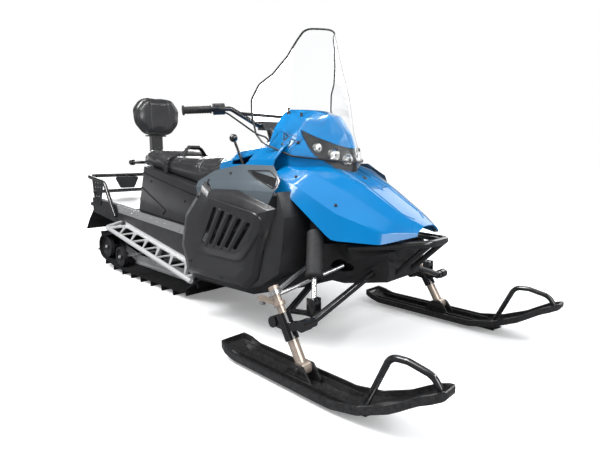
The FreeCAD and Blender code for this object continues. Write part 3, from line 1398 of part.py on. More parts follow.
def steering_support():
    centre = post_point(-BEARING_REACH)
    ring = pipe_ring(centre, post_axis(), BEARING_LENGTH, BEARING_RADIUS, POST_RADIUS + RUN_GAP)
    hole_reach = post_axis() * BEARING_LENGTH * 4
    pieces = [ring]
    for side in (RIGHT, LEFT):
        foot_z = tunnel_top(SUPPORT_FOOT_Y) + SEAT_GAP + SUPPORT_PAD_THICK / 2
        pieces.append(rod(V(side * SUPPORT_X, SUPPORT_FOOT_Y, foot_z + SUPPORT_TUBE), centre, SUPPORT_TUBE))
        low, high = SUPPORT_FOOT_Y - SUPPORT_PAD_HALF / 2, SUPPORT_FOOT_Y + SUPPORT_PAD_HALF
        inner, outer = side * SUPPORT_X - SUPPORT_PAD_HALF, side * SUPPORT_X + SUPPORT_PAD_HALF
        pieces.append(roof_plate(low, high, inner, outer, SEAT_GAP, SUPPORT_PAD_THICK * 3))
    return fused(pieces).cut(rod(centre - hole_reach, centre + hole_reach, POST_RADIUS + RUN_GAP))


def front_bumper():
    nose = V(BUMPER_NOSE_X, BUMPER_NOSE_Y, BUMPER_NOSE_Z)
    mount = V(BUMPER_MOUNT_X, BUMPER_MOUNT_Y, BUMPER_MOUNT_Z)
    half = bent_tube([mount, nose, V(0, BUMPER_NOSE_Y, BUMPER_NOSE_Z)], BUMPER_RADIUS, BUMPER_BEND)
    foot = V(BUMPER_FOOT_X, BUMPER_FOOT_Y, BUMPER_FOOT_Z)
    stay = rod(foot, V(BUMPER_FOOT_X, BUMPER_NOSE_Y, BUMPER_NOSE_Z), BUMPER_STAY_RADIUS)
    tab = rod(V(0, BUMPER_MOUNT_Y, BUMPER_MOUNT_Z), mount, BUMPER_RADIUS)
    pieces = [half, stay, tab]
    whole = fused(pieces + [mirrored(piece) for piece in pieces])
    return largest(whole.cut(frame_room(SEAT_GAP)))


# Front suspension: kingpins raked back by the caster, double arms, shocks

def kingpin_axis():
    return V(0, math.sin(CASTER), math.cos(CASTER))


def kingpin_point(side, z):
    return V(side * HALF_STANCE, (z - SADDLE_Z) * math.tan(CASTER), z)


def kingpin_rod(side, low_z, high_z, radius):
    return rod(kingpin_point(side, low_z), kingpin_point(side, high_z), radius)


def cross_lug(centre, radius, half_width):
    return rod(centre - V(half_width, 0, 0), centre + V(half_width, 0, 0), radius)


def web_between(start, end, half_height, half_width):
    along = (end - start).normalize()
    up = V(0, -along.z, along.y)
    rise = up * half_height
    corners = [start + rise, end + rise, end - rise, start - rise]
    shift = V(-half_width, 0, 0)
    return face_of([corner + shift for corner in corners]).extrude(V(half_width * 2, 0, 0))


def knuckle(side):
    tube = kingpin_rod(side, KNUCKLE_LOW_Z, KNUCKLE_HIGH_Z, KNUCKLE_RADIUS)
    x = side * HALF_STANCE
    centre = kingpin_point(side, (KNUCKLE_LOW_Z + KNUCKLE_HIGH_Z) / 2)
    pieces = [tube]
    for lobe in (V(x, LOWER_FRONT_Y, LOWER_FRONT_Z), V(x, LOWER_REAR_Y, LOWER_REAR_Z)):
        pieces.append(cross_lug(lobe, KNUCKLE_LUG_RADIUS, KNUCKLE_LUG_HALF))
        pieces.append(web_between(lobe, centre, KNUCKLE_WEB_HALF, KNUCKLE_WEB_HALF))
    hole = kingpin_rod(side, 0, UPPER_EYE_Z, SHAFT_RADIUS + RUN_GAP)
    return fused(pieces).cut(hole)


def knuckles():
    return Part.makeCompound([knuckle(side) for name, side in SIDES])


def lower_arm_ends(side):
    bush_x = side * (HALF_STANCE - KNUCKLE_LUG_HALF - SEAT_GAP - LOWER_BUSH_LENGTH / 2)
    front = (V(bush_x, LOWER_FRONT_Y, LOWER_FRONT_Z), V(0, LOWER_INNER_FRONT_Y, LOWER_INNER_FRONT_Z))
    rear = (V(bush_x, LOWER_REAR_Y, LOWER_REAR_Z), V(0, LOWER_INNER_REAR_Y, LOWER_INNER_REAR_Z))
    ends = []
    for outer, middle in (front, rear):
        ends.append((outer, V(side * FRAME_HALF, middle.y, middle.z)))
    return ends


def shock_foot(side):
    return V(side * SHOCK_LOW_X, SHOCK_LOW_Y, SHOCK_LOW_Z)


def lower_arm(side):
    pieces = []
    brace = []
    for outer, inner in lower_arm_ends(side):
        pieces.append(rod(outer, inner, LOWER_ARM_TUBE))
        pieces.append(cross_lug(outer, LOWER_BUSH_RADIUS, LOWER_BUSH_LENGTH / 2))
        share = (SHOCK_LOW_X - abs(outer.x)) / (abs(inner.x) - abs(outer.x))
        brace.append(outer + (inner - outer) * share)
    pieces.append(rod(brace[0], brace[1], LOWER_BRACE_TUBE))
    foot = shock_foot(side)
    base_z = brace[0].z
    reach = SHOCK_EYE_HALF + SEAT_GAP + SHOCK_EAR_THICK
    y_low, y_high = foot.y - SHOCK_EAR_HALF, foot.y + SHOCK_EAR_HALF
    base_top = foot.z - SHOCK_EYE_RADIUS - MOVE_GAP
    pieces.append(block(foot.x - reach, foot.x + reach, y_low, y_high, base_z - LOWER_BRACE_TUBE, base_top))
    for low_x in (foot.x - reach, foot.x + reach - SHOCK_EAR_THICK):
        high_x = low_x + SHOCK_EAR_THICK
        pieces.append(block(low_x, high_x, y_low, y_high, base_z, foot.z + SHOCK_EYE_RADIUS))
    top = V(side * SHOCK_TOP_X, SHOCK_TOP_Y, SHOCK_TOP_Z)
    rooms = [frame_room(SEAT_GAP), rod(foot, top, SHOCK_ROD_RADIUS + SEAT_GAP)]
    arm = largest(fused(pieces).cut(rooms))
    return fused([arm, cross_lug(foot, SHOCK_BOLT_RADIUS, reach)])


def lower_arms():
    return Part.makeCompound([lower_arm(side) for name, side in SIDES])


def upper_arm_ends(side):
    return kingpin_point(side, UPPER_EYE_Z), V(side * FRAME_HALF, UPPER_INNER_Y, UPPER_INNER_Z)


def upper_arm(side):
    outer, inner = upper_arm_ends(side)
    bore = kingpin_rod(side, 0, UPPER_EYE_Z * 2, SHAFT_RADIUS + RUN_GAP)
    eye = pipe_ring(outer, kingpin_axis(), UPPER_EYE_LENGTH, UPPER_EYE_RADIUS, SHAFT_RADIUS + RUN_GAP)
    nut_low = SPINDLE_TOP_Z - SPINDLE_NUT_HEIGHT - SEAT_GAP
    nut_room = kingpin_rod(side, nut_low, UPPER_EYE_Z * 2, SPINDLE_NUT_RADIUS + SADDLE_GAP)
    arm = fused([eye, rod(outer, inner, UPPER_ARM_TUBE)])
    return largest(arm.cut([bore, nut_room, frame_room(SEAT_GAP)]))


def upper_arms():
    return Part.makeCompound([upper_arm(side) for name, side in SIDES])


def shock(side):
    low = shock_foot(side)
    top = V(side * SHOCK_TOP_X, SHOCK_TOP_Y, SHOCK_TOP_Z)
    way = top - low
    start, end = [low + way * share for share in SHOCK_SLEEVE_SHARES]
    eye = cross_lug(low, SHOCK_EYE_RADIUS, SHOCK_EYE_HALF)
    eye_length = way.Length - SHOCK_EYE_RADIUS
    body = rod(low, start, SHOCK_ROD_RADIUS)
    sleeve = rod(start, end, SHOCK_SLEEVE_RADIUS)
    cap = rod(end, low + way.normalize() * eye_length, SHOCK_BODY_RADIUS)
    top_eye = cross_lug(top, SHOCK_BODY_RADIUS, SHOCK_TOP_X - SHOCK_MOUNT_X - SEAT_GAP)
    bolt = cross_lug(low, SHOCK_BOLT_RADIUS + RUN_GAP, SHOCK_EYE_HALF * 2)
    return fused([eye, body, sleeve, cap, top_eye]).cut(bolt)


def shocks():
    return Part.makeCompound([shock(side) for name, side in SIDES])


def steer_eye(side):
    return V(side * HALF_STANCE, STEER_EYE_Y, STEER_ARM_Z)


def spindle(side):
    leg = kingpin_rod(side, SADDLE_Z, KNUCKLE_LOW_Z - SEAT_GAP, LEG_RADIUS)
    foot = cross_lug(kingpin_point(side, SADDLE_Z), SPINDLE_EYE_RADIUS, SPINDLE_EYE_HALF)
    shaft = kingpin_rod(side, SADDLE_Z, SPINDLE_TOP_Z, SHAFT_RADIUS)
    nut = kingpin_rod(side, SPINDLE_TOP_Z - SPINDLE_NUT_HEIGHT, SPINDLE_TOP_Z, SPINDLE_NUT_RADIUS)
    half = STEER_ARM_THICK / 2
    clamp = kingpin_rod(side, STEER_ARM_Z - half, STEER_ARM_Z + half, STEER_CLAMP_RADIUS)
    eye = steer_eye(side)
    arm = web_between(kingpin_point(side, STEER_ARM_Z), eye, half, STEER_ARM_HALF)
    tip = rod(eye - V(0, 0, half), eye + V(0, 0, half), STEER_EYE_RADIUS)
    bore = cross_lug(kingpin_point(side, SADDLE_Z), BOLT_RADIUS + RUN_GAP, SPINDLE_EYE_HALF * 2)
    return fused([leg, foot, shaft, nut, clamp, arm, tip]).cut(bore)


def tie_rod_ends(side):
    drop = (STEER_ARM_THICK + TIE_END_THICK) / 2 + TIE_GAP
    return steer_eye(side) - V(0, 0, drop), V(side * TIE_INNER_X, TIE_INNER_Y, TIE_INNER_Z)


def tie_rod(side):
    eye, inner = tie_rod_ends(side)
    half = TIE_END_THICK / 2
    end = rod(eye - V(0, 0, half), eye + V(0, 0, half), TIE_END_RADIUS)
    above = block(eye.x - TIE_END_RADIUS * 2, eye.x + TIE_END_RADIUS * 2, eye.y - TIE_END_RADIUS * 2,
                  eye.y + TIE_END_RADIUS * 2, eye.z + half, eye.z + TIE_END_THICK * 2)
    return fused([end, rod(eye, inner, TIE_RADIUS).cut(above)])


def through_belly(side):
    ends = [(outer, inner, LOWER_ARM_TUBE) for outer, inner in lower_arm_ends(side)]
    outer, inner = upper_arm_ends(side)
    ends.append((outer, inner, UPPER_ARM_TUBE))
    eye, inner = tie_rod_ends(side)
    ends.append((eye, inner + (inner - eye) / 4, TIE_RADIUS + TIE_SWING / 2))
    mount = V(side * BUMPER_MOUNT_X, BUMPER_MOUNT_Y, BUMPER_MOUNT_Z)
    ends.append((V(0, mount.y, mount.z), mount, BUMPER_RADIUS))
    return ends


# Skis: a dished blade with raised rims, a keel bar, a saddle for the leg and a loop handle

def ski_curve(lift):
    length = SKI_TAIL_Y - SKI_TIP_Y
    rise = SKI_TIP_Z - SKI_BASE_Z - SKI_RIM
    return [(SKI_TIP_Y + a * length, SKI_BASE_Z + b * rise + lift) for a, b in SKI_PROFILE_SHARES]


def ski_band(low, high):
    outline = ski_curve(low) + list(reversed(ski_curve(high)))
    return rounded_plate_x(outline, -SKI_HALF, SKI_HALF, SKI_BEND)


def ski_plan(trim):
    length = SKI_TAIL_Y - SKI_TIP_Y - trim * 2
    right = [(b * (SKI_HALF - trim), SKI_TIP_Y + trim + a * length) for a, b in SKI_PLAN_SHARES]
    outline = right + [(-x, y) for x, y in reversed(right)]
    return rounded_plate_z(outline, -OVERRUN, SKI_TIP_Z * 2, SKI_CORNER)


def ski_blade():
    blade = ski_band(0, SKI_RIM).common(ski_plan(0))
    return blade.cut(ski_band(SKI_THICK, SKI_RIM * 2).common(ski_plan(SKI_RIM_WALL)))


def ski_keel():
    front = SKI_TIP_Y * KEEL_SHARES[0]
    rear = SKI_TAIL_Y * KEEL_SHARES[1]
    top = SKI_BASE_Z + SKI_THICK
    outline = [(front - KEEL_RUN, top), (front, KEEL_RADIUS), (rear, KEEL_RADIUS), (rear + KEEL_RUN, top)]
    keel = plate_x(outline, -KEEL_WIDTH / 2, KEEL_WIDTH / 2)
    bar = rod(V(0, front, KEEL_RADIUS), V(0, rear, KEEL_RADIUS), KEEL_RADIUS)
    return [keel, bar]


def ski_saddle():
    floor = SKI_BASE_Z + SKI_THICK / 2
    half = SADDLE_CHEEK / 2
    pieces = []
    for x in (SADDLE_HALF, -SADDLE_HALF):
        front, rear = SKI_TIP_Y * SKI_RIB_SHARES[0], SKI_TAIL_Y * SKI_RIB_SHARES[1]
        pieces.append(block(x - half, x + half, front, rear, floor, SKI_BASE_Z + SKI_RIM))
    inner = SPINDLE_EYE_HALF + SADDLE_GAP
    top = SADDLE_Z + SADDLE_TOP
    outline = [(SADDLE_FRONT_Y, floor), (SADDLE_REAR_Y, floor)]
    outline += [(SPINDLE_EYE_RADIUS, top), (-SPINDLE_EYE_RADIUS, top)]
    for low in (inner, -inner - SADDLE_CHEEK):
        pieces.append(rounded_plate_x(outline, low, low + SADDLE_CHEEK, SPINDLE_EYE_RADIUS / 2))
    pieces.append(cross_lug(V(0, 0, SADDLE_Z), BOLT_RADIUS, inner + SADDLE_CHEEK * 2))
    return pieces


def ski(side):
    whole = fused([ski_blade()] + ski_keel() + ski_saddle())
    return whole.translated(V(side * HALF_STANCE, 0, 0))


def ski_loop(side):
    loop = bent_tube([V(0, y, z) for y, z in LOOP_POINTS], LOOP_RADIUS, LOOP_BEND)
    return largest(loop.cut(ski_blade())).translated(V(side * HALF_STANCE, 0, 0))


# Handlebar with its post, grips, controls and cables

def grip_start():
    return BAR_BEND + (GRIP_END - BAR_BEND) * GRIP_START_SHARE


def grip_way():
    return (GRIP_END - BAR_BEND).normalize()


def handlebar_tube():
    middle = V(0, BAR_CLAMP.y, BAR_CLAMP.z)
    half = bent_tube([middle, BAR_CLAMP, BAR_BEND, GRIP_END], BAR_RADIUS, BAR_BEND_RADIUS)
    low = BAR_CLAMP + (BAR_BEND - BAR_CLAMP) * BRACE_SHARE
    brace = rod(V(-low.x, low.y, low.z), low, BRACE_RADIUS)
    return fused([half, mirrored(half), brace])


def cable_points(side):
    inner_face = grip_start() - grip_way() * (CONTROL_OFFSET + CONTROL_HALF + CABLE_RADIUS)
    points = [inner_face - V(0, 0, CABLE_DROP), BAR_BEND + CABLE_UNDER_BAR, BAR_CLAMP + CABLE_UNDER_CLAMP]
    points += [post_point(-reach) + V(CABLE_X, 0, 0) for reach in (CABLE_TURN_REACH, CABLE_END_REACH)]
    return [V(side * point.x, point.y, point.z) for point in points]


def steering_post():
    hub = V(0, STEER_HUB_Y, STEER_HUB_Z)
    post = rod(post_point(-POST_LOW_REACH), hub - post_axis() * BAR_RADIUS, POST_RADIUS)
    clamp = block(-CLAMP_HALF_X, CLAMP_HALF_X, hub.y - CLAMP_HALF, hub.y + CLAMP_HALF,
                  hub.z - CLAMP_HALF, hub.z + CLAMP_HALF)
    pieces = [post, clamp]
    cable_room = []
    for name, side in SIDES:
        centre = post_point(-CABLE_CLIP_REACH) + V(side * CABLE_X, 0, 0)
        pieces.append(Part.makeCylinder(CABLE_CLIP_RADIUS, CABLE_CLIP_LENGTH, centre, post_axis()))
        reach = post_axis() * CABLE_CLIP_LENGTH
        cable_room.append(rod(centre - reach, centre + reach * 2, CABLE_RADIUS + SEAT_GAP))
    hole = cross_bar(hub.y, hub.z, BAR_CLAMP.x, BAR_RADIUS + RUN_GAP)
    return fused(pieces).cut([hole] + cable_room)


def grips():
    way = grip_way()
    start = grip_start()
    tube = rod(start, GRIP_END + way * GRIP_CAP, GRIP_RADIUS)
    flange = rod(GRIP_END, GRIP_END + way * GRIP_CAP, GRIP_FLANGE_RADIUS)
    bore = rod(start - way * OVERRUN, GRIP_END + way * RUN_GAP, BAR_RADIUS + RUN_GAP)
    return both(fused([tube, flange]).cut(bore))


def control():
    way = grip_way()
    centre = grip_start() - way * CONTROL_OFFSET
    housing = rod(centre - way * CONTROL_HALF, centre + way * CONTROL_HALF, CONTROL_RADIUS)
    bore = rod(centre - way * CONTROL_HALF * 2, centre + way * CONTROL_HALF * 2, BAR_RADIUS + RUN_GAP)
    tip = grip_start() + (GRIP_END - grip_start()) * LEVER_SHARE - Y_AXIS * LEVER_OUT
    pivot = centre - Y_AXIS * (CONTROL_RADIUS + LEVER_OUT / 3) + X_AXIS * (LEVER_OUT / 2)
    lever = bent_tube([centre, pivot, tip], LEVER_RADIUS, LEVER_OUT / 2)
    return fused([housing, lever]).cut(bore)


def controls():
    return both(control())


def control_cables():
    cables = [bent_tube(cable_points(side), CABLE_RADIUS, CABLE_BEND) for name, side in SIDES]
    return Part.makeCompound(cables)


# Parts of the machine and their export

def all_parts():
    parts = {
        "track": track(),
        "track_wheels": track_wheels(),
        "slide_frame": slide_frame(),
        "drive_axle": drive_axle(),
        "tunnel": tunnel(),
        "tunnel_side_strips": tunnel_side_strips(),
        "cargo_deck": cargo_deck(),
        "running_boards": running_boards(),
        "snow_flap": snow_flap(),
        "cargo_rack": cargo_rack(),
        "tail_lamp": tail_lamp(),
        "rear_hitch": rear_hitch(),
        "hood": hood(),
        "cowl": cowl(),
        "headlights": headlights(),
        "console": console(),
        "shift_lever": shift_lever(),
        "side_panels": side_panels(),
        "upper_panels": upper_panels(),
        "side_fairings": side_fairings(),
        "belly_pan": belly_pan(),
        "windscreen": windscreen(),
        "seat_box": seat_box(),
        "front_seat": front_seat(),
        "rear_seat": rear_seat(),
        "seat_strap": seat_strap(),
        "seat_frame": seat_frame(),
        "backrest_pad": backrest_pad(),
        "engine_block": engine_block(),
        "front_frame": front_frame(),
        "steering_support": steering_support(),
        "front_bumper": front_bumper(),
        "knuckles": knuckles(),
        "lower_arms": lower_arms(),
        "upper_arms": upper_arms(),
        "shocks": shocks(),
        "steering_post": steering_post(),
        "handlebar_tube": handlebar_tube(),
        "grips": grips(),
        "controls": controls(),
        "control_cables": control_cables(),
    }
    for name, side in SIDES:
        parts["spindle_" + name] = spindle(side)
        parts["tie_rod_" + name] = tie_rod(side)
        parts["ski_" + name] = ski(side)
        parts["ski_loop_" + name] = ski_loop(side)
    return parts


os.makedirs("parts", exist_ok=True)
for node, shape in all_parts().items():
    moved = shape.translated(V(0, -MACHINE_MIDDLE_Y, 0))
    moved.exportStep("parts/" + node + ".step")
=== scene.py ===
import math

import bpy
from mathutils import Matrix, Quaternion, Vector
from mathutils.bvhtree import BVHTree
from mathutils.kdtree import KDTree


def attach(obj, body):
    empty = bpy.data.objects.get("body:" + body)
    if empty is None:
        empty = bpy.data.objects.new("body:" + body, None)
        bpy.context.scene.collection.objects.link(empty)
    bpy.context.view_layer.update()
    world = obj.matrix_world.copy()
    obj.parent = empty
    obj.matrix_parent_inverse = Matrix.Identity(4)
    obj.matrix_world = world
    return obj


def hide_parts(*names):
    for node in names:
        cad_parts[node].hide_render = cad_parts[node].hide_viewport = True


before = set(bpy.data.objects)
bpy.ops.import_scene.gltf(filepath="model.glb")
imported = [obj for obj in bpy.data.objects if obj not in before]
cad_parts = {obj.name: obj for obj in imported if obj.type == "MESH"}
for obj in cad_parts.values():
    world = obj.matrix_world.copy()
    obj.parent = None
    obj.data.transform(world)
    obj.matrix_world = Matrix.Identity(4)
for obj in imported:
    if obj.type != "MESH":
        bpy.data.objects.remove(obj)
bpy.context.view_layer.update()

# Driving values of the scene, in metres and degrees
BODY = "chassis"
MIDDLE_Y = 0.956
SIDES = (-1.0, 1.0)
SHELL_WALL = 0.005
SHADE_DEG = 35.0
SHELL_SHADE_DEG = 28.0
MOULDED_SHADE_DEG = 50.0
SOFT_SHADE_DEG = 60.0

# Where lines cast on the machine start, and the ways they go
ABOVE, BESIDE, BEFORE = 1.2, 0.6, -0.3
DOWN, BACK = (0.0, 0.0, -1.0), (0.0, 1.0, 0.0)


def spot(x, y, z):
    return Vector((x, y - MIDDLE_Y, z))


def inward(side):
    return (-side, 0.0, 0.0)


def side_run(side, places):
    """Points beside the machine, for places given along it and in height."""
    return [spot(side * BESIDE, y, z) for y, z in places]


def top_run(side, places):
    """Points above the machine, for places given across and along it."""
    return [spot(side * x, y, ABOVE) for x, y in places]


def new_object(name, data):
    thing = bpy.data.objects.new(name, data)
    bpy.context.scene.collection.objects.link(thing)
    return thing


def aim(thing, place, way, axis):
    """Puts a thing at a place, with one of its axes along a way."""
    thing.location = place
    thing.rotation_mode = "QUATERNION"
    thing.rotation_quaternion = way.to_track_quat(axis, "Y")


# Camera, floor and lamps

CAMERA_PLACE = (-1.493, -1.962, 0.762)
CAMERA_TARGET = (0.0, -0.456, 0.500)
CAMERA_ROLL_DEG = -0.46
CAMERA_LENS = 26.9
CAMERA_SHIFT = (0.0061, -0.0173)
CAMERA_REACH = (0.05, 200.0)
WHITE = (1.0, 1.0, 1.0, 1.0)
AIR_COLOUR = (0.90, 0.93, 0.97, 1.0)
AIR_STRENGTH = 0.42
STUDIO_WALLS = ((0.0, 0.90), (0.05, 0.70), (0.14, 0.10), (0.60, 0.07), (0.90, 0.14), (0.97, 1.0))
FLOOR_SIZE = 60.0
FLOOR_IN_BOUNCE = (0.55, 0.55, 0.56, 1.0)
FLOOR_IN_GLOSS = (0.13, 0.13, 0.135, 1.0)
FLOOR_SEEN = (0.97, 0.97, 0.97, 1.0)
FLOOR_FADE = (1.6, 4.5)
FLOOR_GLOW = (0.22, 1.0)

# Each lamp: its place, what it points at, its width and height, and its power
LAMPS = {
    "key_lamp": ((-2.6, 0.8, 4.2), (0.0, -0.1, 0.4), (2.4, 1.8), 190.0),
    "front_lamp": ((-1.2, -4.6, 2.4), (0.0, -0.5, 0.5), (2.8, 1.8), 78.0),
    "far_lamp": ((4.2, -1.0, 2.8), (0.0, 0.0, 0.5), (2.4, 2.4), 45.0),
    "roof_strip": ((-1.5, 0.2, 3.0), (-0.2, 0.0, 0.6), (0.14, 3.6), 60.0),
    "nose_strip": ((0.8, -3.2, 2.9), (0.0, -0.6, 0.6), (2.4, 0.14), 44.0),
    "rear_lamp": ((2.6, 4.6, 2.1), (0.0, 0.2, 0.6), (3.4, 1.4), 75.0),
}


def make_camera():
    camera = new_object("camera", bpy.data.cameras.new("camera"))
    bpy.context.scene.camera = camera
    aim(camera, CAMERA_PLACE, Vector(CAMERA_TARGET) - Vector(CAMERA_PLACE), "-Z")
    roll = Quaternion((0.0, 0.0, 1.0), math.radians(CAMERA_ROLL_DEG))
    camera.rotation_quaternion = camera.rotation_quaternion @ roll
    camera.data.lens = CAMERA_LENS
    camera.data.shift_x, camera.data.shift_y = CAMERA_SHIFT
    camera.data.clip_start, camera.data.clip_end = CAMERA_REACH


def coloured(nodes, kind, colour):
    shader = nodes.new(kind)
    shader.inputs["Color"].default_value = colour
    return shader


def mixed(nodes, links, share, one, other):
    mix = nodes.new("ShaderNodeMixShader")
    links.new(share, mix.inputs["Fac"])
    links.new(one, mix.inputs[1])
    links.new(other, mix.inputs[2])
    return mix.outputs[0]


def glossy_rays(nodes):
    return nodes.new("ShaderNodeLightPath").outputs["Is Glossy Ray"]


def seen_rays(nodes, links):
    """One for what the camera sees itself or through glass, so that the backdrop stays white there."""
    path = nodes.new("ShaderNodeLightPath")
    larger = nodes.new("ShaderNodeMath")
    larger.operation = "MAXIMUM"
    links.new(path.outputs["Is Camera Ray"], larger.inputs[0])
    links.new(path.outputs["Is Transmission Ray"], larger.inputs[1])
    return larger.outputs[0]


def studio_air(nodes, links):
    """What gloss reflects: a pale horizon, dark walls above it and a bright ceiling."""
    place = nodes.new("ShaderNodeTexCoord")
    split = nodes.new("ShaderNodeSeparateXYZ")
    links.new(place.outputs["Generated"], split.inputs[0])
    walls = nodes.new("ShaderNodeValToRGB")
    while len(walls.color_ramp.elements) < len(STUDIO_WALLS):
        walls.color_ramp.elements.new(0.5)
    for element, (height, bright) in zip(walls.color_ramp.elements, STUDIO_WALLS):
        element.position = height
        element.color = (bright, bright, bright, 1.0)
    links.new(split.outputs["Z"], walls.inputs["Fac"])
    air = nodes.new("ShaderNodeBackground")
    links.new(walls.outputs["Color"], air.inputs["Color"])
    return air.outputs[0]


def make_world():
    world = bpy.data.worlds.new("studio_air")
    bpy.context.scene.world = world
    world.use_nodes = True
    nodes, links = world.node_tree.nodes, world.node_tree.links
    nodes.clear()
    plain = coloured(nodes, "ShaderNodeBackground", AIR_COLOUR)
    plain.inputs["Strength"].default_value = AIR_STRENGTH
    unseen = mixed(nodes, links, glossy_rays(nodes), plain.outputs[0], studio_air(nodes, links))
    white = coloured(nodes, "ShaderNodeBackground", WHITE)
    out = nodes.new("ShaderNodeOutputWorld")
    links.new(mixed(nodes, links, seen_rays(nodes, links), unseen, white.outputs[0]), out.inputs["Surface"])


def floor_glow(nodes, links):
    """Light of the seen floor, weak under the machine so that its shadow shows, and white far off."""
    place = nodes.new("ShaderNodeTexCoord")
    reach = nodes.new("ShaderNodeVectorMath")
    reach.operation = "LENGTH"
    links.new(place.outputs["Object"], reach.inputs[0])
    fade = nodes.new("ShaderNodeMapRange")
    fade.inputs["From Min"].default_value, fade.inputs["From Max"].default_value = FLOOR_FADE
    fade.inputs["To Min"].default_value, fade.inputs["To Max"].default_value = FLOOR_GLOW
    links.new(reach.outputs["Value"], fade.inputs["Value"])
    glow = nodes.new("ShaderNodeEmission")
    links.new(fade.outputs["Result"], glow.inputs["Strength"])
    return glow.outputs[0]


def make_floor():
    bpy.ops.mesh.primitive_plane_add(size=FLOOR_SIZE, location=(0.0, 0.0, 0.0))
    floor = bpy.context.active_object
    floor.name = "floor"
    material = bpy.data.materials.new("pale_floor")
    material.use_nodes = True
    nodes, links = material.node_tree.nodes, material.node_tree.links
    nodes.clear()
    bounce = coloured(nodes, "ShaderNodeBsdfDiffuse", FLOOR_IN_BOUNCE)
    gloss = coloured(nodes, "ShaderNodeBsdfDiffuse", FLOOR_IN_GLOSS)
    unseen = mixed(nodes, links, glossy_rays(nodes), bounce.outputs[0], gloss.outputs[0])
    lit = coloured(nodes, "ShaderNodeBsdfDiffuse", FLOOR_SEEN)
    both = nodes.new("ShaderNodeAddShader")
    links.new(lit.outputs[0], both.inputs[0])
    links.new(floor_glow(nodes, links), both.inputs[1])
    out = nodes.new("ShaderNodeOutputMaterial")
    links.new(mixed(nodes, links, seen_rays(nodes, links), unseen, both.outputs[0]), out.inputs["Surface"])
    floor.data.materials.append(material)


def make_lamps():
    for name, (place, target, size, power) in LAMPS.items():
        light = bpy.data.lights.new(name, "AREA")
        light.shape = "RECTANGLE"
        light.size, light.size_y = size
        light.energy = power
        aim(new_object(name, light), place, Vector(target) - Vector(place), "-Z")


# Finishes

